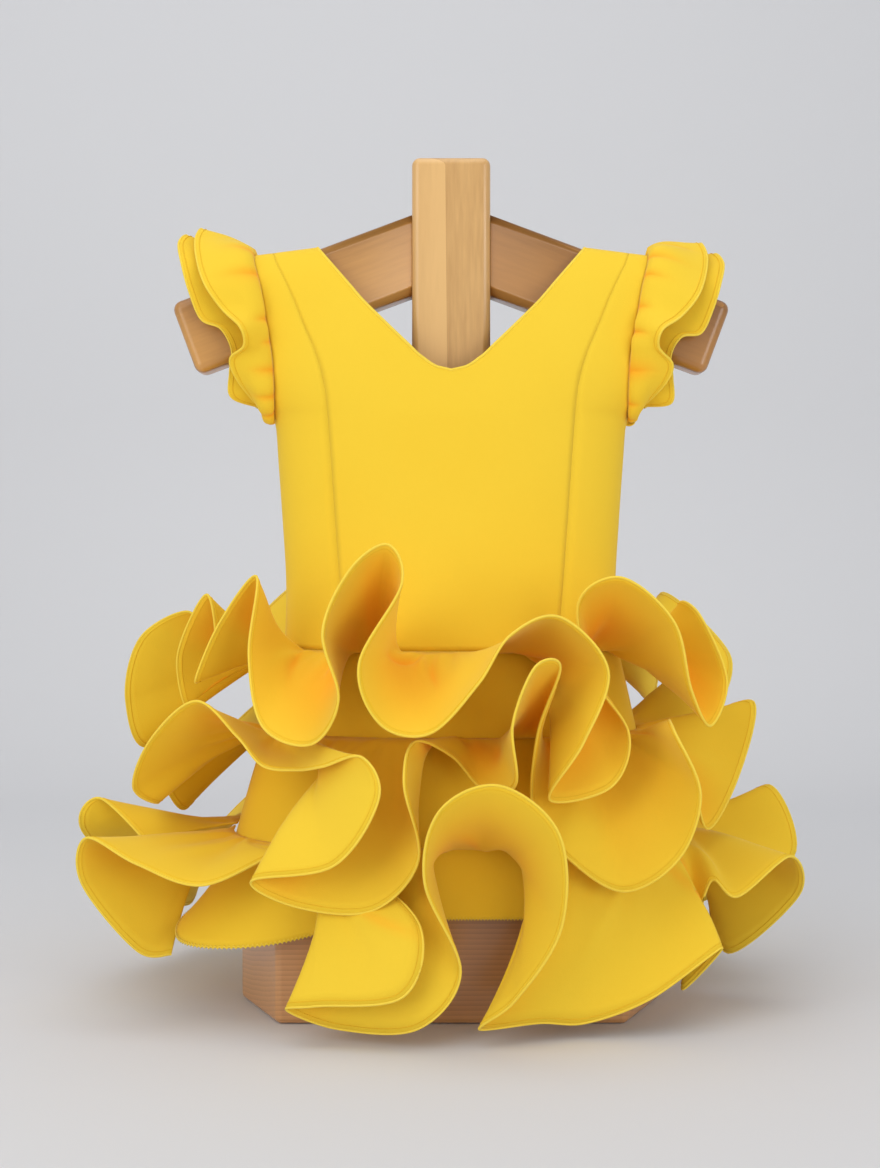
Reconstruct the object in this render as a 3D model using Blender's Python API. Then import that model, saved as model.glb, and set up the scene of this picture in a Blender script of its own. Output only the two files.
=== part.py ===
"""Child's flamenco dress hanging on its wooden display stand. Metres, +Z up, the front faces -Y."""
from collections import namedtuple
from math import acos, asin, cos, exp, floor, pi, radians, sin

import bmesh
import bpy
from mathutils import Vector

# Sizes below are in millimetres.
MM = 0.001
CLOTH = 1.6
SEAM_GAP = 0.3
GLUE_GAP = 0.1

POST_WIDTH = 54.0
POST_DEPTH = 40.0
STAND_HEIGHT = 578.0
BASE_WIDTH = 288.0
BASE_DEPTH = 200.0
BASE_HEIGHT = 85.0
BASE_CLIP_WIDTH = 30.0
BASE_CLIP_DEPTH = 70.0
ARM_DEPTH = 30.0
ARM_HEIGHT = 52.6
ARM_TOP = 540.0
ARM_SPAN = 194.0
ARM_DROP = radians(20.3)
POST_ROUND = 5.5
ARM_ROUND = 6.5
BASE_ROUND = 4.0
ROUND_STEPS = 2

WAIST = 240.3
BODICE_POWER = 2.3
HALF_FRONT_COLUMNS = 4
SIDE_COLUMNS = 3
SKIRT_COLUMNS = 60
FLARE_START = 114.0
FLOUNCE_ROWS = 3
SLEEVE_ROWS = 2
COLUMNS_A_STATION = 2
SLEEVE_PLY_GAP = 2.8
SLEEVE_SEAM_GAP = 1.4
RIGHT_SLEEVE_DROOP = 36.0
SLEEVE_DROOP_START = 136.0
SLEEVE_SWELL = 3.0
FLOUNCE_LEAST_REACH = 60.0
FLOUNCE_STAND_OFF = 2.1
BACK_SIDE_SEAT = 0.27
BACK_SIDE_TURN = 0.36
BACK_SIDE_SWELL = 12.0

# Bodice sections, from the shoulder seam down: height at the neck, how much lower the armhole is, then the
# distances from the middle of the neck edge, the princess seam and the armhole, then the section's half sizes.
BodiceRow = namedtuple("BodiceRow", "up drop neck princess edge half_width half_depth")
BODICE = [
    BodiceRow(517.0, 5.6, 93.0, 123.0, 136.0, 900.0, SEAM_GAP / 2),
    BodiceRow(517.0, 5.6, 92.5, 122.6, 136.0, 900.0, 9.0),
    BodiceRow(514.8, 5.4, 91.0, 122.0, 135.7, 900.0, 15.5),
    BodiceRow(508.0, 4.5, 85.4, 119.8, 134.8, 400.0, 20.5),
    BodiceRow(499.0, 3.0, 77.8, 115.8, 132.6, 280.0, 25.0),
    BodiceRow(489.0, 1.5, 69.3, 111.5, 130.5, 230.0, 28.5),
    BodiceRow(478.0, 0.0, 60.0, 107.0, 128.8, 200.0, 31.5),
    BodiceRow(464.0, 0.0, 46.0, 101.5, 126.6, 178.0, 35.0),
    BodiceRow(448.0, 0.0, 29.5, 94.5, 123.6, 162.0, 38.5),
    BodiceRow(438.0, 0.0, 18.5, 90.8, 122.1, 154.4, 40.3),
    BodiceRow(430.0, 0.0, 0.0, 88.4, 121.5, 148.8, 41.6),
    BodiceRow(418.0, 0.0, 0.0, 85.8, 121.2, 139.0, 43.3),
    BodiceRow(407.0, 0.0, 0.0, 84.5, 121.6, 129.0, 44.6),
    BodiceRow(397.0, 0.0, 0.0, 83.6, 122.0, 122.0, 45.5),
    BodiceRow(368.0, 0.0, 0.0, 81.5, 119.6, 119.6, 46.5),
    BodiceRow(330.0, 0.0, 0.0, 79.0, 117.2, 117.2, 47.6),
    BodiceRow(290.0, 0.0, 0.0, 76.0, 115.0, 115.0, 50.0),
    BodiceRow(262.0, 0.0, 0.0, 73.6, 115.0, 115.0, 52.4),
    BodiceRow(WAIST, 0.0, 0.0, 72.0, 116.0, 116.0, 54.6),
]
UNDERARM_ROW = 13

# Underskirt sections, from the waist down: height, half sizes and how square the section is.
SkirtRow = namedtuple("SkirtRow", "up half_width half_depth power")
SKIRT = [
    SkirtRow(240.0, 116.0, 54.6, 2.3),
    SkirtRow(212.0, 122.5, 67.0, 2.3),
    SkirtRow(182.0, 129.0, 80.0, 2.4),
    SkirtRow(148.0, 139.0, 94.0, 2.6),
    SkirtRow(114.0, 148.0, 106.5, 2.9),
    SkirtRow(94.0, 153.0, 112.0, 3.2),
    SkirtRow(72.0, 158.0, 116.5, 3.4),
]
# Waves in the underskirt's hem: where, how wide round the skirt, how far out and how far down.
HemWave = namedtuple("HemWave", "turn width out drop")
HEM_WAVES = [
    HemWave(-56.0, 15.0, 0.22, 12.0),
    HemWave(-40.0, 16.0, 0.0, 15.0),
    HemWave(-100.0, 14.0, 0.05, 5.0),
    HemWave(-146.0, 14.0, 0.06, 6.0),
    HemWave(170.0, 15.0, 0.05, 4.0),
    HemWave(128.0, 14.0, 0.06, 6.0),
    HemWave(88.0, 12.0, 0.04, 4.0),
    HemWave(48.0, 13.0, 0.05, 5.0),
]

# A flounce starts from an oval seam ring; straight says how level the cloth leaves the seam.
Ring = namedtuple("Ring", "up half_width half_depth power straight")
# It is lofted through stations: the place on its seam ring in degrees from the front, where its hem is there
# as distances to the right, forwards and up, and how far the cloth between them rolls out beyond its usual swell.
Station = namedtuple("Station", "seat x front up belly", defaults=(0.0,))
# Back folds are evenly shaped: turn round the dress, width in degrees, reach and height of crest and foot.
BackFold = namedtuple("BackFold", "turn width crest_out crest_up foot_out foot_up")

TOP_RING = Ring(236.5, 116.8, 56.1, 2.3, 0.3)
TOP_FRONT = [
    Station(-112, -215, -30, 168),
    Station(-107, -230, -12, 202),
    Station(-102, -218, 0, 246),
    Station(-97, -184, 5, 265),
    Station(-91.1, -175.1, 13.5, 242.7, 0.2),
    Station(-87.1, -181.2, 28.8, 200.4, 0.1),
    Station(-83, -186.7, 34.1, 236.9),
    Station(-77.8, -166.1, 40, 278),
    Station(-73.3, -159.1, 49.2, 236.9),
    Station(-67.3, -170.7, 65.8, 220.8),
    Station(-62.8, -154.7, 67.9, 258.9, 0.4),
    Station(-58, -129, 74, 291),
    Station(-52, -132, 95, 240),
    Station(-45, -121, 118, 196),
    Station(-38, -89, 132, 186),
    Station(-33, -71, 145, 215),
    Station(-30, -81, 143, 258),
    Station(-26, -64, 128, 297),
    Station(-22, -41, 116, 312),
    Station(-18, -32, 128, 287),
    Station(-13, -58, 150, 238),
    Station(-8, -45, 152, 201),
    Station(-3, -14, 153, 195),
    Station(3, 16, 156, 226),
    Station(9, 36, 152, 256),
    Station(15, 67, 146, 267),
    Station(21, 97, 147, 234),
    Station(26, 82, 146, 189),
    Station(30, 61, 138, 152),
    Station(34, 101, 124, 158),
    Station(38, 113, 118, 191),
    Station(42, 90, 104, 228),
    Station(46, 81, 112, 275),
    Station(51, 108, 118, 291),
    Station(57, 141, 122, 263),
    Station(62, 153, 116, 219),
    Station(67, 167, 104, 195),
    Station(72, 179, 94, 224),
    Station(78, 162, 88, 266),
    Station(84, 152, 64, 272),
    Station(90, 172, 34, 238),
    Station(97, 186, 2, 200),
]
TOP_BACK = [
    BackFold(114.0, 38.0, 172.0, 276.0, 212.0, 190.0),
    BackFold(151.0, 36.0, 146.0, 292.0, 186.0, 192.0),
    BackFold(186.0, 34.0, 140.0, 298.0, 180.0, 192.0),
    BackFold(224.0, 40.0, 158.0, 284.0, 200.0, 190.0),
]

MIDDLE_RING = Ring(184.0, 128.6, 79.2, 2.4, 0.2)
MIDDLE_FRONT = [
    Station(-112, -190, -36, 122),
    Station(-103, -203, -4, 142),
    Station(-94, -200, 40, 136),
    Station(-87, -213, 62, 150),
    Station(-79, -198, 80, 184),
    Station(-71, -167, 92, 210),
    Station(-64, -140, 98, 188),
    Station(-58, -122, 110, 170),
    Station(-52, -100, 118, 168),
    Station(-46.9, -81.4, 140.5, 172.9),
    Station(-43, -56, 158, 181, 8),
    Station(-38, -45.1, 170.1, 157.1, 15),
    Station(-32.2, -72.4, 168.3, 115.7, 16.4),
    Station(-24.2, -125, 150.5, 103, 9),
    Station(-19.2, -96.3, 147, 85.9, 0.7),
    Station(-14.9, -49.7, 151.5, 84.7, 0.7),
    Station(-9, -21, 158, 117),
    Station(-5, -30, 158, 164),
    Station(-2, -24, 136, 188),
    Station(2, 0, 112, 176),
    Station(6, 20, 122, 156),
    Station(10, 39, 158, 164),
    Station(14, 37, 164, 202),
    Station(18, 51, 160, 237),
    Station(22, 67, 150, 236),
    Station(26, 54, 128, 192),
    Station(30, 52, 118, 142),
    Station(34, 74, 138, 114),
    Station(39, 109, 132, 93),
    Station(45, 143, 134, 114),
    Station(51, 156, 138, 155),
    Station(57, 140, 136, 194),
    Station(63, 142, 98, 196),
    Station(69, 160, 66, 162),
    Station(75, 172, 58, 121),
    Station(81, 196, 40, 156),
    Station(87, 209, 20, 203),
    Station(93, 176, 0, 186),
]
MIDDLE_BACK = [
    BackFold(114.0, 38.0, 180.0, 214.0, 212.0, 124.0),
    BackFold(151.0, 36.0, 160.0, 222.0, 194.0, 122.0),
    BackFold(186.0, 34.0, 156.0, 224.0, 190.0, 122.0),
    BackFold(224.0, 40.0, 168.0, 208.0, 208.0, 128.0),
]

BOTTOM_RING = Ring(116.0, 149.4, 107.8, 2.9, 0.7)
BOTTOM_FRONT = [
    Station(-85, -186, 74, 40),
    Station(-80, -208, 80, 44),
    Station(-75, -242, 92, 91),
    Station(-70, -237, 102, 122),
    Station(-63, -202, 118, 108),
    Station(-57, -159, 128, 96),
    Station(-53.3, -112.9, 119.1, 113.8, 0.9),
    Station(-48, -95.7, 120.1, 112.2),
    Station(-40.8, -58.4, 132.3, 105.9, 1.4),
    Station(-35.9, -19.9, 159.8, 76.3, 3.9),
    Station(-29.9, -30, 172, 36, 5.8),
    Station(-25.6, -84.4, 161.3, 27.4, 3.4),
    Station(-17.5, -103, 152.8, 22.8),
    Station(-14, -70, 146, 9),
    Station(-9, -21, 159.7, 13, 3.4),
    Station(-6, 5, 164, 49),
    Station(-3, -17, 184, 108),
    Station(1, -8, 188, 152),
    Station(5, 28, 186, 167),
    Station(9, 64, 188, 138),
    Station(13, 66, 180, 80),
    Station(17, 38, 168, 32),
    Station(22, 16, 156, 12),
    Station(31, 55, 142, 12),
    Station(40, 85, 134, 10),
    Station(48, 126, 132, 25),
    Station(54, 172, 122, 55),
    Station(59, 149, 112, 26),
    Station(64, 156, 96, 42),
    Station(69, 170, 84, 90),
    Station(74, 187, 92, 82),
    Station(79, 225, 72, 105),
    Station(84, 236, 45, 74),
    Station(89, 192, 20, 29),
    Station(94, 186, 0, 72),
    Station(99, 245, -20, 90),
    Station(104, 230, -36, 138),
    Station(109, 196, -62, 98),
    Station(118, 208, -92, 54),
    Station(128, 172, -140, 34),
]
BOTTOM_BACK = [
    BackFold(151.0, 36.0, 198.0, 134.0, 220.0, 30.0),
    BackFold(186.0, 34.0, 184.0, 140.0, 214.0, 30.0),
    BackFold(222.0, 38.0, 196.0, 132.0, 232.0, 36.0),
]
BOTTOM_END = [
    Station(259, -256, 4, 108),
    Station(265, -244, 16, 136),
    Station(270, -204, 36, 104),
]

# Sleeve flounces on the left of the photo: a seat along the armhole, -1 at the front underarm, 0 on the shoulder.
UPPER_SLEEVE = [
    Station(-0.94, -128, 11, 404),
    Station(-0.84, -136, 19, 411),
    Station(-0.72, -147, 30, 426),
    Station(-0.62, -150, 38, 438),
    Station(-0.54, -140, 45, 446),
    Station(-0.46, -142, 49, 458),
    Station(-0.36, -155, 40, 471),
    Station(-0.25, -167, 36, 488),
    Station(-0.14, -174, 24, 506),
    Station(-0.05, -177, 10, 523),
    Station(0.04, -174, -5, 532),
    Station(0.14, -173, -22, 513),
    Station(0.25, -166, -36, 490),
    Station(0.36, -156, -40, 472),
    Station(0.46, -143, -48, 458),
    Station(0.56, -140, -43, 445),
    Station(0.72, -147, -30, 426),
    Station(0.84, -136, -19, 411),
    Station(0.94, -128, -11, 404),
]
LOWER_SLEEVE = [
    Station(-0.84, -136, 8, 408),
    Station(-0.74, -152, 16, 414),
    Station(-0.64, -152, 22, 430),
    Station(-0.54, -150, 28, 445),
    Station(-0.44, -157, 32, 459),
    Station(-0.34, -171, 26, 466),
    Station(-0.24, -179, 25, 484),
    Station(-0.14, -185, 20, 504),
    Station(-0.05, -189, 7, 521),
    Station(0.04, -184, -5, 527),
    Station(0.14, -184, -20, 506),
    Station(0.24, -178, -25, 482),
    Station(0.34, -170, -26, 466),
    Station(0.46, -156, -32, 456),
    Station(0.56, -151, -30, 443),
    Station(0.68, -154, -20, 425),
    Station(0.84, -136, -8, 408),
]

PART_NAME = "flamenco_dress_on_stand"
Finish = namedtuple("Finish", "color roughness")
CREPE = Finish((0.86, 0.55, 0.035), 0.85)
CREPE_SHADE = Finish((0.80, 0.49, 0.03), 0.85)
PINE = Finish((0.68, 0.42, 0.19), 0.35)
PINE_DARK = Finish((0.55, 0.31, 0.13), 0.35)
PINE_BLOCK = Finish((0.48, 0.28, 0.14), 0.4)


def clear_scene():
    for thing in list(bpy.data.objects):
        bpy.data.objects.remove(thing)
    group = bpy.data.collections.new(PART_NAME)
    bpy.context.scene.collection.children.link(group)
    return group


def add_node(group, name, bm, finish):
    """Makes one named object with its own material from a closed bmesh in millimetres."""
    bmesh.ops.scale(bm, vec=(MM, MM, MM), verts=bm.verts)
    if bm.calc_volume(signed=True) < 0:
        bmesh.ops.reverse_faces(bm, faces=bm.faces)
    mesh = bpy.data.meshes.new(name)
    bm.to_mesh(mesh)
    bm.free()
    material = bpy.data.materials.new(name)
    material.use_nodes = True
    shader = material.node_tree.nodes["Principled BSDF"]
    shader.inputs["Base Color"].default_value = (*finish.color, 1.0)
    shader.inputs["Roughness"].default_value = finish.roughness
    mesh.materials.append(material)
    thing = bpy.data.objects.new(name, mesh)
    group.objects.link(thing)
    return thing


def prism(outline, low, high, axis):
    """Extrudes a closed outline of pairs between two levels of the axis Y or Z."""
    bm = bmesh.new()
    rings = []
    for level in (low, high):
        if axis == "Z":
            rings.append([bm.verts.new((a, b, level)) for a, b in outline])
        else:
            rings.append([bm.verts.new((a, level, b)) for a, b in outline])
    count = len(outline)
    for i in range(count):
        j = (i + 1) % count
        bm.faces.new((rings[0][i], rings[0][j], rings[1][j], rings[1][i]))
    bm.faces.new(list(reversed(rings[0])))
    bm.faces.new(rings[1])
    bmesh.ops.recalc_face_normals(bm, faces=bm.faces)
    return bm


def round_edges(bm, size, chosen):
    edges = [e for e in bm.edges if chosen(e.verts[0].co, e.verts[1].co)]
    bmesh.ops.bevel(bm, geom=edges, offset=size, segments=ROUND_STEPS, profile=0.5, affect="EDGES")
    return bm


def build_post():
    half = POST_WIDTH / 2
    outline = [(-half, -POST_DEPTH / 2), (half, -POST_DEPTH / 2), (half, POST_DEPTH / 2), (-half, POST_DEPTH / 2)]
    bottom = BASE_HEIGHT + GLUE_GAP
    bm = prism(outline, bottom, STAND_HEIGHT, "Z")
    return round_edges(bm, POST_ROUND, lambda a, b: max(a.z, b.z) > bottom + 1)


def build_arm(side):
    slope = sin(ARM_DROP) / cos(ARM_DROP)
    inner = POST_WIDTH / 2 + GLUE_GAP
    tip = ARM_TOP - slope * (ARM_SPAN - inner)
    outline = [
        (inner, ARM_TOP),
        (ARM_SPAN, tip),
        (ARM_SPAN - sin(ARM_DROP) * ARM_HEIGHT, tip - cos(ARM_DROP) * ARM_HEIGHT),
        (inner, ARM_TOP - ARM_HEIGHT / cos(ARM_DROP)),
    ]
    outline = [(side * x, z) for x, z in outline]
    bm = prism(outline, -ARM_DEPTH / 2, ARM_DEPTH / 2, "Y")
    return round_edges(bm, ARM_ROUND, lambda a, b: max(abs(a.x), abs(b.x)) > inner + 1)


def build_base():
    x0, x1 = BASE_WIDTH / 2 - BASE_CLIP_WIDTH, BASE_WIDTH / 2
    y0, y1 = BASE_DEPTH / 2 - BASE_CLIP_DEPTH, BASE_DEPTH / 2
    corner = [(x1, y0), (x0, y1), (-x0, y1), (-x1, y0)]
    outline = corner + [(-x, -y) for x, y in corner]
    bm = prism(outline, 0.0, BASE_HEIGHT, "Z")
    return round_edges(bm, BASE_ROUND, lambda a, b: True)


def sheet_normals(points, quads):
    normals = [Vector() for _ in points]
    for quad in quads:
        a, b, c, d = (points[i] for i in quad)
        normal = (c - a).cross(d - b)
        for i in quad:
            normals[i] += normal
    return [n.normalized() for n in normals]


def cloth_wall(points, quads, level=None):
    """Gives a sheet of quads the cloth's thickness, half on each side, and closes its edges.

    level gives the points that lie on a seam and the axis that their normals keep out of.
    """
    normals = sheet_normals(points, quads)
    for i, axis in (level or {}).items():
        normals[i][axis] = 0.0
        normals[i].normalize()
    bm = bmesh.new()
    outer = [bm.verts.new(p + n * (CLOTH / 2)) for p, n in zip(points, normals)]
    inner = [bm.verts.new(p - n * (CLOTH / 2)) for p, n in zip(points, normals)]
    edges = {}
    for a, b, c, d in quads:
        if (points[a] - points[c]).length <= (points[b] - points[d]).length:
            halves = ((a, b, c), (a, c, d))
        else:
            halves = ((a, b, d), (b, c, d))
        for half in halves:
            bm.faces.new([outer[i] for i in half])
            bm.faces.new([inner[i] for i in reversed(half)])
        for edge in ((a, b), (b, c), (c, d), (d, a)):
            if edge[::-1] in edges:
                del edges[edge[::-1]]
            else:
                edges[edge] = True
    for i, j in edges:
        bm.faces.new((outer[j], outer[i], inner[i], inner[j]))
    return bm


def grid_quads(rows, columns, closed=False):
    """Quads of a grid whose points are listed row by row."""
    wide = columns if closed else columns - 1
    quads = []
    for r in range(rows - 1):
        for c in range(wide):
            d = (c + 1) % columns
            quads.append((r * columns + c, r * columns + d, (r + 1) * columns + d, (r + 1) * columns + c))
    return quads


def ring_point(ring, turn, out=0.0):
    """A point of an oval section; turn is in degrees from the front, and out moves it away from the middle."""
    s, c = sin(radians(turn)), cos(radians(turn))
    square = (abs(s) ** ring.power + abs(c) ** ring.power) ** (-1 / ring.power)
    return Vector(((ring.half_width + out) * s * square, -(ring.half_depth + out) * c * square, ring.up))


def bodice_point(row, side, share_from, share_to, share, face):
    """A bodice point between two seam lines of a section; face is -1 in front and 1 behind."""
    widest = pi / 2
    if row.edge == row.half_width:
        widest = acos((SEAM_GAP / 2 / row.half_depth) ** (BODICE_POWER / 2))

    def angle(x):
        return min(asin(min(1.0, (x / row.half_width) ** (BODICE_POWER / 2))), widest)

    turn = angle(share_from) * (1 - share) + angle(share_to) * share
    x = row.half_width * abs(sin(turn)) ** (2 / BODICE_POWER)
    y = row.half_depth * abs(cos(turn)) ** (2 / BODICE_POWER)
    up = row.up - row.drop * (x - row.neck) / (row.edge - row.neck)
    return Vector((side * x, face * y, up))


def bodice_panel(side, face, start, stop, columns):
    """A strip of the bodice between two seam lines given as functions of a section."""
    points = []
    for row in BODICE:
        for c in range(columns + 1):
            points.append(bodice_point(row, side, start(row), stop(row), c / columns, face))
    return points, grid_quads(len(BODICE), columns + 1)


def seam_levels(columns, first_column, last_column):
    """Points on the shoulder seam, and on the middle or side seam, with the axis across each seam."""
    level = {}
    for r, row in enumerate(BODICE):
        if first_column:
            level[r * (columns + 1)] = 0
        if last_column and row.edge == row.half_width:
            level[r * (columns + 1) + columns] = 1
    for c in range(columns + 1):
        level[c] = 1
    return level


def inner_edge(row):
    return max(row.neck, SEAM_GAP / 2)


def princess_inner(row):
    return row.princess - SEAM_GAP / 2


def princess_outer(row):
    return row.princess + SEAM_GAP / 2


def build_centre_front():
    """Both halves of the front share the points of the middle line below the neck."""
    points, quads = bodice_panel(1, -1, lambda row: row.neck, princess_inner, HALF_FRONT_COLUMNS)
    mirrored = [Vector((-p.x, p.y, p.z)) for p in points]
    where = {}
    for i, p in enumerate(points):
        if p.x < 1e-6:
            where[i] = i
        else:
            where[i] = len(points) + i
    both = points + mirrored
    left = [tuple(where[i] for i in reversed(quad)) for quad in quads]
    used = sorted({i for quad in quads + left for i in quad})
    place = {old: new for new, old in enumerate(used)}
    quads = [tuple(place[i] for i in quad) for quad in quads + left]
    joined = [both[i] for i in used]
    level = {i: 1 for i, p in enumerate(joined) if p.y > -SEAM_GAP}
    return cloth_wall(joined, quads, level)


def build_side_panel(side, face):
    points, quads = bodice_panel(side, face, princess_outer, lambda row: row.edge, SIDE_COLUMNS)
    return cloth_wall(points, quads, seam_levels(SIDE_COLUMNS, False, True))


def build_back_panel(side):
    points, quads = bodice_panel(side, 1, inner_edge, princess_inner, HALF_FRONT_COLUMNS)
    return cloth_wall(points, quads, seam_levels(HALF_FRONT_COLUMNS, True, False))


def hem_shape(turn):
    """How far the underskirt's hem swings out and drops at a turn in degrees."""
    out, drop = 0.0, 0.0
    for wave in HEM_WAVES:
        away = (turn - wave.turn + 180.0) % 360.0 - 180.0
        weight = exp(-((away / wave.width) ** 2))
        out += wave.out * weight
        drop += wave.drop * weight
    return out, drop


def build_underskirt():
    points = []
    for row in SKIRT:
        down = max(0.0, (FLARE_START - row.up) / (FLARE_START - SKIRT[-1].up)) ** 2
        for c in range(SKIRT_COLUMNS):
            turn = 360.0 * c / SKIRT_COLUMNS
            out, drop = hem_shape(turn)
            point = ring_point(row, turn)
            points.append(Vector((point.x * (1 + out * down), point.y * (1 + out * down), point.z - drop * down)))
    return cloth_wall(points, grid_quads(len(SKIRT), SKIRT_COLUMNS, closed=True))


def back_stations(folds):
    """Four stations for each fold of the back: its near side, crest, far side and foot."""
    stations = []
    for fold in folds:
        swell = (fold.crest_out + fold.foot_out) / 2 + BACK_SIDE_SWELL
        middle = (fold.crest_up + fold.foot_up) / 2
        marks = [
            (-BACK_SIDE_SEAT, -BACK_SIDE_TURN, swell, middle),
            (0.0, 0.0, fold.crest_out, fold.crest_up),
            (BACK_SIDE_SEAT, BACK_SIDE_TURN, swell, middle),
            (0.5, 0.5, fold.foot_out, fold.foot_up),
        ]
        for seat, turn, out, up in marks:
            angle = radians(fold.turn + turn * fold.width)
            stations.append(Station(fold.turn + seat * fold.width, out * sin(angle), out * cos(angle), up))
    return stations


def smooth(values, at, closed):
    """A smooth curve through values, at being a place in the list; each value is a tuple."""
    count = len(values)
    low = floor(at)
    part = at - low

    def pick(i):
        return values[i % count] if closed else values[max(0, min(count - 1, i))]

    p0, p1, p2, p3 = (pick(low + k) for k in (-1, 0, 1, 2))
    result = []
    for a, b, c, d in zip(p0, p1, p2, p3):
        result.append(
            b + part * ((c - a) / 2 + part * (a - 2.5 * b + 2 * c - d / 2 + part * ((d - a) / 2 + 1.5 * (b - c))))
        )
    return result


def hem_curve(stations, closed):
    """Hem points with their seats, at even steps between the stations."""
    places = [(s.x, -s.front, s.up, s.belly) for s in stations]
    seats = [s.seat for s in stations]
    count = len(stations) if closed else len(stations) - 1
    total = count * COLUMNS_A_STATION
    curve = []
    for c in range(total if closed else total + 1):
        at = c / COLUMNS_A_STATION
        low = min(int(at), count - 1) if not closed else int(at)
        after = seats[(low + 1) % len(seats)] + (360.0 if closed and low + 1 == len(seats) else 0.0)
        seat = seats[low] + (after - seats[low]) * (at - low)
        x, y, z, belly = smooth(places, at, closed)
        curve.append((seat, Vector((x, y, z)), belly))
    return curve


def flounce_point(root, hem, straight, belly, share):
    """A point of the cloth between its seam and its hem: it leaves the seam straight out, then turns to the hem."""
    away = Vector((root.x, root.y, 0.0)).normalized()
    reach = hem - root
    out = max(FLOUNCE_LEAST_REACH, reach.dot(away)) * away
    # The curve's middle moves by half of what its pull moves.
    pull = root + (reach * (1 - straight) + out * straight) / 2 + away * (belly * 2)
    return root * (1 - share) ** 2 + pull * (2 * share * (1 - share)) + hem * share**2


def build_flounce(ring, stations, closed):
    curve = hem_curve(stations, closed)
    points = []
    for r in range(FLOUNCE_ROWS + 1):
        share = r / FLOUNCE_ROWS
        for seat, hem, belly in curve:
            root = ring_point(ring, seat, FLOUNCE_STAND_OFF)
            points.append(flounce_point(root, hem, ring.straight, belly, share))
    return cloth_wall(points, grid_quads(FLOUNCE_ROWS + 1, len(curve), closed))


def armhole_loop():
    """Places along the left armhole from the front underarm over the shoulder to the back underarm.

    Each has the edge's point, the cloth's outward normal and the direction away from the cloth.
    """
    points, quads = bodice_panel(-1, -1, princess_outer, lambda row: row.edge, SIDE_COLUMNS)
    normals = sheet_normals(points, quads)
    wide = SIDE_COLUMNS + 1
    column = [r * wide + SIDE_COLUMNS for r in range(UNDERARM_ROW, -1, -1)]
    front = []
    for k, at in enumerate(column):
        before = points[column[max(0, k - 1)]]
        after = points[column[min(len(column) - 1, k + 1)]]
        normal = normals[at] * (-1.0 if normals[at].y > 0.0 else 1.0)
        if k == 0:
            normal = Vector((-1.0, 0.0, 0.0))
        if k == len(column) - 1:
            normal = Vector((0.0, 0.0, 1.0))
        inside = points[at + wide] if k == 0 else points[at - 1]
        away = (after - before).cross(normal).normalized()
        if away.dot(points[at] - inside) < 0:
            away.negate()
        front.append((points[at], normal, away))
    flip = Vector((1.0, -1.0, 1.0))
    back = [tuple(v * flip for v in place) for place in reversed(front)]
    return front + back[1:]


def along(loop, share):
    """The place at a share of the armhole's length."""
    steps = [(b[0] - a[0]).length for a, b in zip(loop, loop[1:])]
    left = share * sum(steps)
    for a, b, step in zip(loop, loop[1:], steps):
        if left <= step:
            return [p.lerp(q, left / step) for p, q in zip(a, b)]
        left -= step
    return list(loop[-1])


def build_sleeve(stations, side, ply):
    """One layer of gathered flounce on an armhole; ply is 1 for the upper layer and -1 for the lower."""
    loop = armhole_loop()
    points = []
    curve = hem_curve(stations, False)
    for r in range(SLEEVE_ROWS + 1):
        share = r / SLEEVE_ROWS
        for seat, hem, _ in curve:
            edge, out, away = along(loop, (seat + 1) / 2)
            root = edge + out * (ply * SLEEVE_PLY_GAP / 2) + away * SLEEVE_SEAM_GAP
            swell = out * (sin(pi * share) * SLEEVE_SWELL * (1 + ply) / 2)
            point = root.lerp(hem, share) + swell
            if side > 0:
                reach = max(0.0, -point.x / SLEEVE_DROOP_START - 1)
                point = Vector((-point.x, point.y, point.z - RIGHT_SLEEVE_DROOP * reach))
            points.append(point)
    return cloth_wall(points, grid_quads(SLEEVE_ROWS + 1, len(curve)))


def main():
    group = clear_scene()
    add_node(group, "stand_post", build_post(), PINE)
    add_node(group, "stand_base", build_base(), PINE_BLOCK)
    add_node(group, "bodice_centre_front", build_centre_front(), CREPE)
    add_node(group, "underskirt", build_underskirt(), CREPE_SHADE)
    for side, word in ((-1, "left"), (1, "right")):
        add_node(group, "stand_arm_" + word, build_arm(side), PINE_DARK)
        add_node(group, "bodice_side_front_" + word, build_side_panel(side, -1), CREPE)
        add_node(group, "bodice_side_back_" + word, build_side_panel(side, 1), CREPE)
        add_node(group, "bodice_back_" + word, build_back_panel(side), CREPE)
        add_node(group, "sleeve_flounce_upper_" + word, build_sleeve(UPPER_SLEEVE, side, 1), CREPE)
        add_node(group, "sleeve_flounce_lower_" + word, build_sleeve(LOWER_SLEEVE, side, -1), CREPE_SHADE)
    top = TOP_FRONT + back_stations(TOP_BACK)[:-1]
    middle = MIDDLE_FRONT + back_stations(MIDDLE_BACK)[:-1]
    bottom = BOTTOM_FRONT + back_stations(BOTTOM_BACK) + BOTTOM_END
    add_node(group, "flounce_top", build_flounce(TOP_RING, top, True), CREPE)
    add_node(group, "flounce_middle", build_flounce(MIDDLE_RING, middle, True), CREPE)
    add_node(group, "flounce_bottom", build_flounce(BOTTOM_RING, bottom, False), CREPE)


main()
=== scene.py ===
"""The dressed model of the flamenco dress on its wooden stand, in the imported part's frame."""
from collections import namedtuple
from math import acos, asin, cos, exp, floor, pi, radians, sin, sqrt

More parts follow.
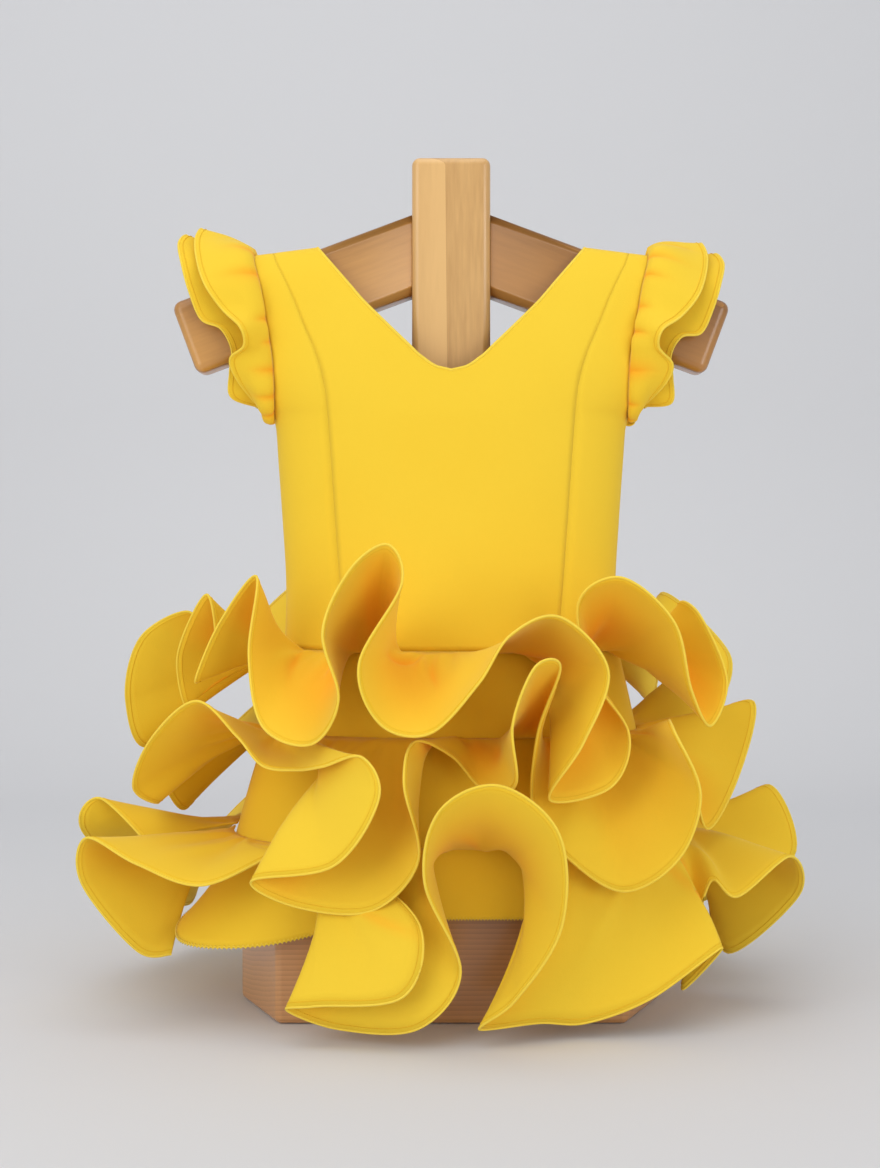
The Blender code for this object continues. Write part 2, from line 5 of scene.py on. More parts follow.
import bmesh
import bpy
import numpy as np
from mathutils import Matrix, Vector


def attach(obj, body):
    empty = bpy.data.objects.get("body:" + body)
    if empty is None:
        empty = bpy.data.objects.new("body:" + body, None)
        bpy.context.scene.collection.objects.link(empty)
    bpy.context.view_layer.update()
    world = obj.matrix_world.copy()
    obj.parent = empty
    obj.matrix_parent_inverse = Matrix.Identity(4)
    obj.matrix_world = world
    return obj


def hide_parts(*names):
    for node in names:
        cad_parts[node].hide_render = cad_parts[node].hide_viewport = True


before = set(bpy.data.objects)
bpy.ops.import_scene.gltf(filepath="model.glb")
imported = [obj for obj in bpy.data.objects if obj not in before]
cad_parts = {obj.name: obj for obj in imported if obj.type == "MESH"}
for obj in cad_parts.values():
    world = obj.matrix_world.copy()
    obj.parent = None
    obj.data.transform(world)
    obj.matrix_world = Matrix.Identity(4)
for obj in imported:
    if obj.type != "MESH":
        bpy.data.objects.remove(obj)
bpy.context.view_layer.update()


def rows_of(kind, rows):
    """A table's rows, each with its numbers named by kind."""
    return [kind(*row) for row in rows]


# Sizes below are in millimetres.
MM = 0.001
TINY = 1e-9
SEAM_GAP = 0.3
GLUE_GAP = 0.1

POST_WIDTH = 54.0
POST_DEPTH = 40.0
STAND_HEIGHT = 578.0
BASE_WIDTH = 288.0
BASE_DEPTH = 200.0
BASE_HEIGHT = 85.0
BASE_CLIP_WIDTH = 30.0
BASE_CLIP_DEPTH = 70.0
ARM_DEPTH = 30.0
ARM_HEIGHT = 52.6
ARM_TOP = 540.0
ARM_SPAN = 194.0
ARM_DROP = radians(20.3)
POST_ROUND = 5.5
ARM_ROUND = 6.5
BASE_ROUND = 4.0
ROUND_STEPS = 5

WAIST = 240.3
BODICE_POWER = 2.3
FLARE_START = 114.0
COLUMNS_A_STATION = 12
SLEEVE_PLY_GAP = 1.8
SLEEVE_SEAM_GAP = 0.1
RIGHT_SLEEVE_DROOP = 36.0
SLEEVE_DROOP_START = 136.0
SLEEVE_SWELL = 3.0
FLOUNCE_LEAST_REACH = 60.0
FLOUNCE_STAND_OFF = 0.9
BACK_SIDE_SEAT = 0.27
BACK_SIDE_TURN = 0.36
BACK_SIDE_SWELL = 12.0

# Bodice sections down from the shoulder: height, armhole drop, distances from the middle, half sizes.
BodiceRow = namedtuple("BodiceRow", "up drop neck princess edge half_width half_depth")
BODICE = rows_of(BodiceRow, [
    (517.0, 5.6, 93.0, 123.0, 136.0, 900.0, SEAM_GAP / 2),
    (517.0, 5.6, 92.5, 122.6, 136.0, 900.0, 9.0),
    (514.8, 5.4, 91.0, 122.0, 135.7, 900.0, 15.5),
    (508.0, 4.5, 85.4, 119.8, 134.8, 400.0, 20.5),
    (499.0, 3.0, 77.8, 115.8, 132.6, 280.0, 25.0),
    (489.0, 1.5, 69.3, 111.5, 130.5, 230.0, 28.5),
    (478.0, 0.0, 60.0, 107.0, 128.8, 200.0, 31.5),
    (464.0, 0.0, 46.0, 101.5, 126.6, 178.0, 35.0),
    (448.0, 0.0, 29.5, 94.5, 123.6, 162.0, 38.5),
    (438.0, 0.0, 18.5, 90.8, 122.1, 154.4, 40.3),
    (430.0, 0.0, 0.0, 88.4, 121.5, 148.8, 41.6),
    (418.0, 0.0, 0.0, 85.8, 121.2, 139.0, 43.3),
    (407.0, 0.0, 0.0, 84.5, 121.6, 129.0, 44.6),
    (397.0, 0.0, 0.0, 83.6, 122.0, 122.0, 45.5),
    (368.0, 0.0, 0.0, 81.5, 119.6, 119.6, 46.5),
    (330.0, 0.0, 0.0, 79.0, 117.2, 117.2, 47.6),
    (290.0, 0.0, 0.0, 76.0, 115.0, 115.0, 50.0),
    (262.0, 0.0, 0.0, 73.6, 115.0, 115.0, 52.4),
    (WAIST, 0.0, 0.0, 72.0, 116.0, 116.0, 54.6),
])
NECK_POINT_ROW = 10
UNDERARM_ROW = 13

# Underskirt sections, from the waist down: height, half sizes and how square the section is.
SkirtRow = namedtuple("SkirtRow", "up half_width half_depth power")
SKIRT = rows_of(SkirtRow, [
    (240.0, 116.0, 54.6, 2.3),
    (212.0, 122.5, 67.0, 2.3),
    (182.0, 129.0, 80.0, 2.4),
    (148.0, 139.0, 94.0, 2.6),
    (114.0, 148.0, 106.5, 2.9),
    (94.0, 153.0, 112.0, 3.2),
    (72.0, 158.0, 116.5, 3.4),
])
# Waves in the underskirt's hem: where, how wide round the skirt, how far out and how far down.
HemWave = namedtuple("HemWave", "turn width out drop")
HEM_WAVES = rows_of(HemWave, [
    (-56.0, 15.0, 0.22, 12.0),
    (-40.0, 16.0, 0.0, 15.0),
    (-100.0, 14.0, 0.05, 5.0),
    (-146.0, 14.0, 0.06, 6.0),
    (170.0, 15.0, 0.05, 4.0),
    (128.0, 14.0, 0.06, 6.0),
    (88.0, 12.0, 0.04, 4.0),
    (48.0, 13.0, 0.05, 5.0),
])

# A flounce starts from an oval seam ring; straight says how level the cloth leaves the seam.
Ring = namedtuple("Ring", "up half_width half_depth power straight")
# A station is a place on the seam ring in degrees, the hem's place there and how far the cloth rolls out.
Station = namedtuple("Station", "seat x front up belly", defaults=(0.0,))

# Back folds are evenly shaped: turn round the dress, width in degrees, reach and height of crest and foot.
BackFold = namedtuple("BackFold", "turn width crest_out crest_up foot_out foot_up")

TOP_RING = Ring(236.5, 116.8, 56.1, 2.3, 0.3)
TOP_FRONT = rows_of(Station, [
    (-112, -215, -30, 168),
    (-107, -230, -12, 202),
    (-102, -218, 0, 246),
    (-97, -184, 5, 265),
    (-91.1, -175.1, 13.5, 242.7, 0.2),
    (-87.1, -181.2, 28.8, 200.4, 0.1),
    (-83, -186.7, 34.1, 236.9),
    (-77.8, -166.1, 40, 278),
    (-73.3, -159.1, 49.2, 236.9),
    (-67.3, -170.7, 65.8, 220.8),
    (-62.8, -154.7, 67.9, 258.9, 0.4),
    (-58, -129, 74, 291),
    (-52, -132, 95, 240),
    (-45, -121, 118, 196),
    (-38, -89, 132, 186),
    (-33, -71, 145, 215),
    (-30, -81, 143, 258),
    (-26, -64, 128, 297),
    (-22, -41, 116, 312),
    (-18, -32, 128, 287),
    (-13, -58, 150, 238),
    (-8, -45, 152, 201),
    (-3, -14, 153, 195),
    (3, 16, 156, 226),
    (9, 36, 152, 256),
    (15, 67, 146, 267),
    (21, 97, 147, 234),
    (26, 82, 146, 189),
    (30, 61, 138, 152),
    (34, 101, 124, 158),
    (38, 113, 118, 191),
    (42, 90, 104, 228),
    (46, 81, 112, 275),
    (51, 108, 118, 291),
    (57, 141, 122, 263),
    (62, 153, 116, 219),
    (67, 167, 104, 195),
    (72, 179, 94, 224),
    (78, 162, 88, 266),
    (84, 152, 64, 272),
    (90, 172, 34, 238),
    (97, 186, 2, 200),
])
TOP_BACK = rows_of(BackFold, [
    (114.0, 38.0, 172.0, 276.0, 212.0, 190.0),
    (151.0, 36.0, 146.0, 292.0, 186.0, 192.0),
    (186.0, 34.0, 140.0, 298.0, 180.0, 192.0),
    (224.0, 40.0, 158.0, 284.0, 200.0, 190.0),
])

MIDDLE_RING = Ring(184.0, 128.6, 79.2, 2.4, 0.2)
MIDDLE_FRONT = rows_of(Station, [
    (-112, -190, -36, 122),
    (-103, -203, -4, 142),
    (-94, -200, 40, 136),
    (-87, -213, 62, 150),
    (-79, -198, 80, 184),
    (-71, -167, 92, 210),
    (-64, -140, 98, 188),
    (-58, -122, 110, 170),
    (-52, -100, 118, 168),
    (-46.9, -81.4, 140.5, 172.9),
    (-43, -56, 158, 181, 8),
    (-38, -45.1, 170.1, 157.1, 15),
    (-32.2, -72.4, 168.3, 115.7, 16.4),
    (-24.2, -125, 150.5, 103, 9),
    (-19.2, -96.3, 147, 85.9, 0.7),
    (-14.9, -49.7, 151.5, 84.7, 0.7),
    (-9, -21, 158, 117),
    (-5, -30, 158, 164),
    (-2, -24, 136, 188),
    (2, 0, 112, 176),
    (6, 20, 122, 156),
    (10, 39, 158, 164),
    (14, 37, 164, 202),
    (18, 51, 160, 237),
    (22, 67, 150, 236),
    (26, 54, 128, 192),
    (30, 52, 118, 142),
    (34, 74, 138, 114),
    (39, 109, 132, 93),
    (45, 143, 134, 114),
    (51, 156, 138, 155),
    (57, 140, 136, 194),
    (63, 142, 98, 196),
    (69, 160, 66, 162),
    (75, 172, 58, 121),
    (81, 196, 40, 156),
    (87, 209, 20, 203),
    (93, 176, 0, 186),
])
MIDDLE_BACK = rows_of(BackFold, [
    (114.0, 38.0, 180.0, 214.0, 212.0, 124.0),
    (151.0, 36.0, 160.0, 222.0, 194.0, 122.0),
    (186.0, 34.0, 156.0, 224.0, 190.0, 122.0),
    (224.0, 40.0, 168.0, 208.0, 208.0, 128.0),
])

BOTTOM_RING = Ring(116.0, 149.4, 107.8, 2.9, 0.7)
BOTTOM_FRONT = rows_of(Station, [
    (-85, -186, 74, 40),
    (-80, -208, 80, 44),
    (-75, -242, 92, 91),
    (-70, -237, 102, 122),
    (-63, -202, 118, 108),
    (-57, -159, 128, 96),
    (-53.3, -112.9, 119.1, 113.8, 0.9),
    (-48, -95.7, 120.1, 112.2),
    (-40.8, -58.4, 132.3, 105.9, 1.4),
    (-35.9, -19.9, 159.8, 76.3, 3.9),
    (-29.9, -30, 172, 36, 5.8),
    (-25.6, -84.4, 161.3, 27.4, 3.4),
    (-17.5, -103, 152.8, 22.8),
    (-14, -70, 146, 9),
    (-9, -21, 159.7, 13, 3.4),
    (-6, 5, 164, 49),
    (-3, -17, 184, 108),
    (1, -8, 188, 152),
    (5, 28, 186, 167),
    (9, 64, 188, 138),
    (13, 66, 180, 80),
    (17, 38, 168, 32),
    (22, 16, 156, 12),
    (31, 55, 142, 12),
    (40, 85, 134, 10),
    (48, 126, 132, 25),
    (54, 172, 122, 55),
    (59, 149, 112, 26),
    (64, 156, 96, 42),
    (69, 170, 84, 90),
    (74, 187, 92, 82),
    (79, 225, 72, 105),
    (84, 236, 45, 74),
    (89, 192, 20, 29),
    (94, 186, 0, 72),
    (99, 245, -20, 90),
    (104, 230, -36, 138),
    (109, 196, -62, 98),
    (118, 208, -92, 54),
    (128, 172, -140, 34),
])
BOTTOM_BACK = rows_of(BackFold, [
    (151.0, 36.0, 198.0, 134.0, 220.0, 30.0),
    (186.0, 34.0, 184.0, 140.0, 214.0, 30.0),
    (222.0, 38.0, 196.0, 132.0, 232.0, 36.0),
])
BOTTOM_END = rows_of(Station, [
    (259, -256, 4, 108),
    (265, -244, 16, 136),
    (270, -204, 36, 104),
])

# Left sleeve flounces: a seat along the armhole, -1 at the front underarm and 0 on the shoulder.
UPPER_SLEEVE = rows_of(Station, [
    (-0.94, -128, 11, 404),
    (-0.84, -136, 19, 411),
    (-0.72, -147, 30, 426),
    (-0.62, -150, 38, 438),
    (-0.54, -140, 45, 446),
    (-0.46, -142, 49, 458),
    (-0.36, -155, 40, 471),
    (-0.25, -167, 36, 488),
    (-0.14, -174, 24, 506),
    (-0.05, -177, 10, 523),
    (0.04, -174, -5, 532),
    (0.14, -173, -22, 513),
    (0.25, -166, -36, 490),
    (0.36, -156, -40, 472),
    (0.46, -143, -48, 458),
    (0.56, -140, -43, 445),
    (0.72, -147, -30, 426),
    (0.84, -136, -19, 411),
    (0.94, -128, -11, 404),
])
LOWER_SLEEVE = rows_of(Station, [
    (-0.84, -136, 8, 408),
    (-0.74, -152, 16, 414),
    (-0.64, -152, 22, 430),
    (-0.54, -150, 28, 445),
    (-0.44, -157, 32, 459),
    (-0.34, -171, 26, 466),
    (-0.24, -179, 25, 484),
    (-0.14, -185, 20, 504),
    (-0.05, -189, 7, 521),
    (0.04, -184, -5, 527),
    (0.14, -184, -20, 506),
    (0.24, -178, -25, 482),
    (0.34, -170, -26, 466),
    (0.46, -156, -32, 456),
    (0.56, -151, -30, 443),
    (0.68, -154, -20, 425),
    (0.84, -136, -8, 408),
])

# The visual model's sizes in millimetres, its counts of steps and its plain factors.
SHEET = 1.3
SLEEVE_SHEET = 1.1
FLOUNCE_SHARES = 18
SLEEVE_SHARES = 22
SKIRT_SHARES = 6
SKIRT_TURNS = 240
SKIRT_RIPPLE = 0.9
BODICE_FINE = 4
SIDE_SHARES = 10
BACK_SHARES = 16
HEM_RADIUS = 0.85
NECK_RADIUS = 1.1
TUBE_SIDES = 8
TUBE_START = (0.3, 0.2, 1.0)
STITCH_INSET = 3.0
STITCH_RADIUS = 0.26
STITCH_STAND_OFF = 0.05
OVERLOCK_RADIUS = HEM_RADIUS * 0.75
OVERLOCK_UP = 1.3
OVERLOCK_DOWN = -0.5
OVERLOCK_STEPS = 4
SEAM_DIP = 0.14
SEAM_DIP_WIDTH = 1.6
SEAM_CLOSED = 0.06
SLEEVE_PUFF = 3.0
JOIN_REACH = 0.4
JOIN_ABOVE = 0.5
INSIDE_REACH = 0.2
CREASE_FLOOR = 240.0
CREASE_FLOOR_FADE = 12.0
CREASE_ROOF = 500.0
CREASE_ROOF_FADE = 40.0
LOW_FOLDS_UP = 262
LOW_FOLDS_HEIGHT = 34
DRAG_X = 98
DRAG_LEAN = 0.35
DRAG_WIDTH = 7
DRAG_UP = 268
DRAG_HEIGHT = 24
DRAG_DEPTH = 1.3
FOLD_REACH = 24.0
FOLD_START = 0.25
FOLD_HEM_FADE = 0.75
FOLD_LEAST_CHORD = 8.0
FOLD_SOFTENING = 5
FOLD_STEP = 3
SEAM_SHADE = 0.25
SEAM_SHADE_REACH = 0.22
CREASE_SHADE = 0.18
GATHER_DEPTH = 0.9
GATHER_WAVES = 46
GATHER_REACH = 0.4
GATHER_START = 9
SLEEVE_GATHER = 3.6
SLEEVE_UNDER_GATHER = 1.0
DRIFT = 1.0
SWEEP_FLOOR = -0.5
SWEEP_NEAR = -3000.0
SWEEP_FAR = 900.0
SWEEP_ROUND = 500.0
SWEEP_ROUND_STEPS = 12
SWEEP_TOP = 3200.0
SWEEP_HALF_WIDTH = 3500.0

# Places and sizes here are in metres, and the camera's lens and sensor in millimetres.
CAMERA_AT = (-0.0077, -1.3, 0.315)
CAMERA_PITCH = radians(90 - 1.36)
CAMERA_LENS = 57.2
CAMERA_SENSOR = 36.0
CAMERA_SIGHT = 50.0
Light = namedtuple("Light", "name at size power color spread")
LIGHTS = rows_of(Light, [
    ("key_light", (-1.3, -1.9, 1.5), 1.6, 10.2, (1.0, 0.985, 0.96), 180),
    ("left_light", (-1.5, -1.5, 0.3), 1.2, 1.8, (1.0, 0.985, 0.96), 80),
    ("fill_light", (1.4, -1.9, 0.35), 1.4, 4.0, (0.98, 0.985, 1.0), 80),
    ("top_light", (-0.2, -0.4, 2.2), 1.8, 12.0, (1.0, 0.99, 0.98), 180),
])
LIT_PLACE = (0.0, 0.0, 0.3)
ROOM_LIGHT = (0.96, 0.97, 1.0)
ROOM_STRENGTH = 0.58

# Colours are linear.
SHELL = (0.91, 0.63, 0.04)
# A darker crepe tone: the second tone of the random patches, and the colour of the crepe's painted shade copy
# for layers under other cloth.
SHELL_PATCHES_AND_SHADE = (0.89, 0.58, 0.028)
# The rolled hem's colour, lighter than the crepe: a painted highlight of light catching the roll.
HEM_HIGHLIGHT = (0.95, 0.72, 0.09)
# The orange painted shade of fold depths, beside the flounce seams and in crease and gather valleys.
PAINTED_FOLD_SHADE = (0.97, 0.42, 0.014)
THREAD = (0.80, 0.47, 0.02)
SHEEN_TINT = (1.0, 0.86, 0.45)
BACKDROP = (0.745, 0.75, 0.765)

# Places of the colour inputs and the colour output of a mix node.
MIX_SHARE = 0
MIX_FIRST = 6
MIX_SECOND = 7
MIX_RESULT = 2

# Bump depth in metres, and how the wood's rings and fibre add up to its tone.
BUMP_DISTANCE = 0.0004
WOOD_STRETCH = 0.09
WOOD_RING_TONE = 0.62
WOOD_FIBRE_TONE = 0.35
WOOD_TONE_START = -0.1
PALE_WEIGHT = 2.4

# Wood: its tones, the rings' axis, turn, centre and closeness, and where the dark part of a ring starts.
Wood = namedtuple("Wood", "pale dark rings turn centre scale edge")
WOODS = {
    "stand_post": Wood((0.79, 0.48, 0.18), (0.46, 0.235, 0.07), "Z", 0.0, (0.014, 0.06, 0.0), 27.0, 0.55),
    "stand_arm_left": Wood((0.64, 0.32, 0.08), (0.31, 0.13, 0.03), "X", -20.3, (0.0, 0.05, 0.50), 20.0, 0.45),
    # The right arm's tones are darker than the left arm's: painted shade of the side away from the key light.
    "stand_arm_right": Wood(
        (0.48, 0.22, 0.052), (0.23, 0.095, 0.022), "X", 20.3, (0.0, 0.05, 0.5), 20.0, 0.45
    ),
    "stand_base": Wood((0.62, 0.31, 0.12), (0.22, 0.09, 0.036), "X", 0.0, (0.0, 0.0, 0.36), 98.0, 0.7),
}

# Creases: middle by seat and share, lean, width in degrees, length as a share, height out or in.
Crease = namedtuple("Crease", "seat share lean width length height")
TOP_CREASES = rows_of(Crease, [
    (-92, 0.55, 8, 2.2, 0.25, 2.0),
    (-70, 0.45, -6, 1.8, 0.22, -2.2),
    (-49, 0.30, 14, 2.2, 0.20, -2.6),
    (-36, 0.25, -10, 1.8, 0.18, 2.2),
    (-11, 0.24, -12, 1.5, 0.16, -3.2),
    (-7, 0.22, 10, 1.2, 0.14, 3.0),
    (-4, 0.34, 7, 1.3, 0.16, -2.4),
    (18, 0.30, 10, 2.0, 0.20, -2.4),
    (27, 0.35, -9, 1.6, 0.20, 2.2),
    (47, 0.40, 8, 2.0, 0.24, -2.2),
    (66, 0.35, -8, 2.0, 0.20, 2.2),
    (104, 0.40, 9, 2.4, 0.24, -2.4),
    (139, 0.32, -12, 2.2, 0.20, 2.4),
    (173, 0.42, 8, 2.4, 0.25, -2.4),
    (207, 0.35, -9, 2.0, 0.22, 2.2),
])
MIDDLE_CREASES = rows_of(Crease, [
    (-96, 0.40, 9, 2.2, 0.24, 2.2),
    (-71, 0.45, -8, 2.0, 0.22, -2.4),
    (-52, 0.35, 12, 1.8, 0.20, 2.4),
    (-38, 0.40, -9, 2.0, 0.22, -2.2),
    (-16, 0.30, 8, 1.6, 0.20, 2.0),
    (10, 0.35, -8, 1.8, 0.20, -2.4),
    (33, 0.45, 10, 2.0, 0.24, 2.4),
    (58, 0.40, -8, 2.2, 0.22, -2.2),
    (92, 0.45, 9, 2.4, 0.24, 2.2),
    (128, 0.35, -10, 2.2, 0.22, -2.4),
    (166, 0.45, 8, 2.4, 0.24, 2.4),
    (201, 0.38, -9, 2.2, 0.22, -2.2),
])
BOTTOM_CREASES = rows_of(Crease, [
    (-79, 0.45, 9, 2.2, 0.22, -2.2),
    (-60, 0.40, -8, 2.0, 0.22, 2.2),
    (-40, 0.74, -9, 1.5, 0.20, -3.2),
    (-37, 0.66, -14, 1.2, 0.18, 2.8),
    (-34, 0.82, -6, 1.1, 0.15, -2.6),
    (-30, 0.70, 8, 1.6, 0.22, 2.0),
    (-15, 0.58, 12, 1.5, 0.20, -2.2),
    (4, 0.30, -8, 1.8, 0.20, -2.0),
    (20, 0.70, 3, 1.8, 0.30, 3.0),
    (26, 0.45, 8, 1.8, 0.22, -2.4),
    (37, 0.55, -12, 2.0, 0.24, 2.4),
    (52, 0.45, 9, 2.2, 0.22, -2.4),
    (90, 0.42, -9, 2.0, 0.22, 2.4),
    (124, 0.45, 10, 2.4, 0.24, -2.4),
    (160, 0.38, -9, 2.2, 0.22, 2.4),
    (196, 0.45, 9, 2.4, 0.24, -2.2),
    (228, 0.40, -9, 2.2, 0.22, 2.2),
])


def prism(outline, low, high, axis):
    """Extrudes a closed outline of pairs between two levels of the axis Y or Z."""
    bm = bmesh.new()
    rings = []
    for level in (low, high):
        if axis == "Z":
            rings.append([bm.verts.new((a, b, level)) for a, b in outline])
        else:
            rings.append([bm.verts.new((a, level, b)) for a, b in outline])
    count = len(outline)
    for i in range(count):
        j = (i + 1) % count
        bm.faces.new((rings[0][i], rings[0][j], rings[1][j], rings[1][i]))
    bm.faces.new(list(reversed(rings[0])))
    bm.faces.new(rings[1])
    bmesh.ops.recalc_face_normals(bm, faces=bm.faces)
    return bm


def round_edges(bm, size, chosen):
    """Rounds the edges whose two ends chosen accepts."""
    edges = [e for e in bm.edges if chosen(e.verts[0].co, e.verts[1].co)]
    bmesh.ops.bevel(bm, geom=edges, offset=size, segments=ROUND_STEPS, profile=0.5, affect="EDGES")
    return bm


def build_post():
    x, y = POST_WIDTH / 2, POST_DEPTH / 2
    outline = [(-x, -y), (x, -y), (x, y), (-x, y)]
    bottom = BASE_HEIGHT + GLUE_GAP
    bm = prism(outline, bottom, STAND_HEIGHT, "Z")
    return round_edges(bm, POST_ROUND, lambda a, b: max(a.z, b.z) > bottom + 1)


def build_arm(side):
    slope = sin(ARM_DROP) / cos(ARM_DROP)
    inner = POST_WIDTH / 2 + GLUE_GAP
    tip = ARM_TOP - slope * (ARM_SPAN - inner)
    outline = [
        (inner, ARM_TOP),
        (ARM_SPAN, tip),
        (ARM_SPAN - sin(ARM_DROP) * ARM_HEIGHT, tip - cos(ARM_DROP) * ARM_HEIGHT),
        (inner, ARM_TOP - ARM_HEIGHT / cos(ARM_DROP)),
    ]
    outline = [(side * x, z) for x, z in outline]
    bm = prism(outline, -ARM_DEPTH / 2, ARM_DEPTH / 2, "Y")
    return round_edges(bm, ARM_ROUND, lambda a, b: max(abs(a.x), abs(b.x)) > inner + 1)


def build_base():
    x0, x1 = BASE_WIDTH / 2 - BASE_CLIP_WIDTH, BASE_WIDTH / 2
    y0, y1 = BASE_DEPTH / 2 - BASE_CLIP_DEPTH, BASE_DEPTH / 2
    corner = [(x1, y0), (x0, y1), (-x0, y1), (-x1, y0)]
    outline = corner + [(-x, -y) for x, y in corner]
    bm = prism(outline, 0.0, BASE_HEIGHT, "Z")
    return round_edges(bm, BASE_ROUND, lambda a, b: True)


def ring_point(ring, turn, out=0.0):
    """A point of an oval section, turn degrees from the front and moved away from the middle by out."""
    s, c = sin(radians(turn)), cos(radians(turn))
    square = (abs(s) ** ring.power + abs(c) ** ring.power) ** (-1 / ring.power)
    return Vector(((ring.half_width + out) * s * square, -(ring.half_depth + out) * c * square, ring.up))


def bodice_point(row, side, share_from, share_to, share, face):
    """A bodice point between two seam lines of a section; face is -1 in front and 1 behind."""
    widest = pi / 2
    if row.edge == row.half_width:
        widest = acos((SEAM_GAP / 2 / row.half_depth) ** (BODICE_POWER / 2))

    def angle(x):
        return min(asin(min(1.0, (x / row.half_width) ** (BODICE_POWER / 2))), widest)

    turn = angle(share_from) * (1 - share) + angle(share_to) * share
    x = row.half_width * abs(sin(turn)) ** (2 / BODICE_POWER)
    y = row.half_depth * abs(cos(turn)) ** (2 / BODICE_POWER)
    up = row.up - row.drop * (x - row.neck) / (row.edge - row.neck)
    return Vector((side * x, face * y, up))


def hem_shape(turn):
    """How far the underskirt's hem swings out and drops at a turn in degrees."""
    out, drop = 0.0, 0.0
    for wave in HEM_WAVES:
        away = (turn - wave.turn + 180.0) % 360.0 - 180.0
        weight = exp(-((away / wave.width) ** 2))
        out += wave.out * weight
        drop += wave.drop * weight
    return out, drop


def back_stations(folds):
    """Four stations for each fold of the back: its near side, crest, far side and foot."""
    stations = []
    for fold in folds:
        swell = (fold.crest_out + fold.foot_out) / 2 + BACK_SIDE_SWELL
        middle = (fold.crest_up + fold.foot_up) / 2
        marks = [
            (-BACK_SIDE_SEAT, -BACK_SIDE_TURN, swell, middle),
            (0.0, 0.0, fold.crest_out, fold.crest_up),
            (BACK_SIDE_SEAT, BACK_SIDE_TURN, swell, middle),
            (0.5, 0.5, fold.foot_out, fold.foot_up),
        ]
        for seat, turn, out, up in marks:
            angle = radians(fold.turn + turn * fold.width)
            stations.append(Station(fold.turn + seat * fold.width, out * sin(angle), out * cos(angle), up))
    return stations


def smooth(values, at, closed):
    """A smooth curve through values, at being a place in the list; each value is a tuple."""
    count = len(values)
    low = floor(at)
    part = at - low

    def pick(i):
        return values[i % count] if closed else values[max(0, min(count - 1, i))]

    p0, p1, p2, p3 = (pick(low + k) for k in (-1, 0, 1, 2))
    result = []
    for a, b, c, d in zip(p0, p1, p2, p3):
        third = (d - a) / 2 + 1.5 * (b - c)
        second = a - 2.5 * b + 2 * c - d / 2 + part * third
        result.append(b + part * ((c - a) / 2 + part * second))
    return result


def hem_curve(stations, closed):
    """Hem points with their seats, at even steps between the stations."""
    places = [(s.x, -s.front, s.up, s.belly) for s in stations]
    seats = [s.seat for s in stations]
    count = len(stations) if closed else len(stations) - 1
    total = count * COLUMNS_A_STATION
    curve = []
    for c in range(total if closed else total + 1):
        at = c / COLUMNS_A_STATION
        low = min(int(at), count - 1) if not closed else int(at)
        after = seats[(low + 1) % len(seats)] + (360.0 if closed and low + 1 == len(seats) else 0.0)
        seat = seats[low] + (after - seats[low]) * (at - low)
        x, y, z, belly = smooth(places, at, closed)
        curve.append((seat, Vector((x, y, z)), belly))
    return curve


def flounce_point(root, hem, straight, belly, share):
    """A point of the cloth between its seam, which it leaves straight out, and its hem."""
    away = Vector((root.x, root.y, 0.0)).normalized()
    reach = hem - root
    out = max(FLOUNCE_LEAST_REACH, reach.dot(away)) * away
    # The curve's middle moves by half of what its pull moves.
    pull = root + (reach * (1 - straight) + out * straight) / 2 + away * (belly * 2)
    return root * (1 - share) ** 2 + pull * (2 * share * (1 - share)) + hem * share**2


def new_object(name, verts, faces, material):
    """A mesh object from points in millimetres."""
    mesh = bpy.data.meshes.new(name)
    mesh.from_pydata([tuple(v) for v in np.asarray(verts, dtype=float) * MM], [], faces)
    mesh.update()
    mesh.validate()
    mesh.polygons.foreach_set("use_smooth", [True] * len(mesh.polygons))
    mesh.materials.append(material)
    thing = bpy.data.objects.new(name, mesh)
    bpy.context.scene.collection.objects.link(thing)
    return thing


def piece(thing, slot, *nodes):
    """Places a piece under the root, in the stead of the nodes that it replaces; slot is not used."""
    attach(thing, "root")
    if nodes:
        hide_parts(*nodes)


def grid_normals(grid, closed):
    """Unit normals of a grid of points, rows by columns."""
    if closed:
        across = np.roll(grid, -1, axis=1) - np.roll(grid, 1, axis=1)
    else:
        across = np.gradient(grid, axis=1)
    down = np.gradient(grid, axis=0)
    normal = np.cross(down, across)
    length = np.linalg.norm(normal, axis=2, keepdims=True)
    return normal / np.maximum(length, TINY)


def grid_faces(rows, columns, closed, flip=False, start=0):
    """Four-sided faces of a grid of points, numbered from start."""
    wide = columns if closed else columns - 1
    faces = []
    for r in range(rows - 1):
        for c in range(wide):
            d = (c + 1) % columns
            quad = (r * columns + c, r * columns + d, (r + 1) * columns + d, (r + 1) * columns + c)
            faces.append(tuple(start + i for i in (reversed(quad) if flip else quad)))
    return faces


def shell(name, grid, closed, material, thick=SHEET):
    """A thin closed shell on a grid of points; the grid is its middle surface."""
    rows, columns = grid.shape[:2]
    normal = grid_normals(grid, closed)
    count = rows * columns
    outer = (grid + normal * thick / 2).reshape(count, 3)
    inner = (grid - normal * thick / 2).reshape(count, 3)
    faces = grid_faces(rows, columns, closed) + grid_faces(rows, columns, closed, True, count)
    rim = []
    wide = columns if closed else columns - 1
    for r in (0, rows - 1):
        for c in range(wide):
            d = (c + 1) % columns
            edge = (r * columns + c, r * columns + d)
            if r:
                edge = edge[::-1]
            rim.append((edge[1], edge[0], count + edge[0], count + edge[1]))
    if not closed:
        for c in (0, columns - 1):
            for r in range(rows - 1):
                edge = (r * columns + c, (r + 1) * columns + c)
                if not c:
                    edge = edge[::-1]
                rim.append((edge[1], edge[0], count + edge[0], count + edge[1]))
    return new_object(name, np.vstack([outer, inner]), faces + rim, material)


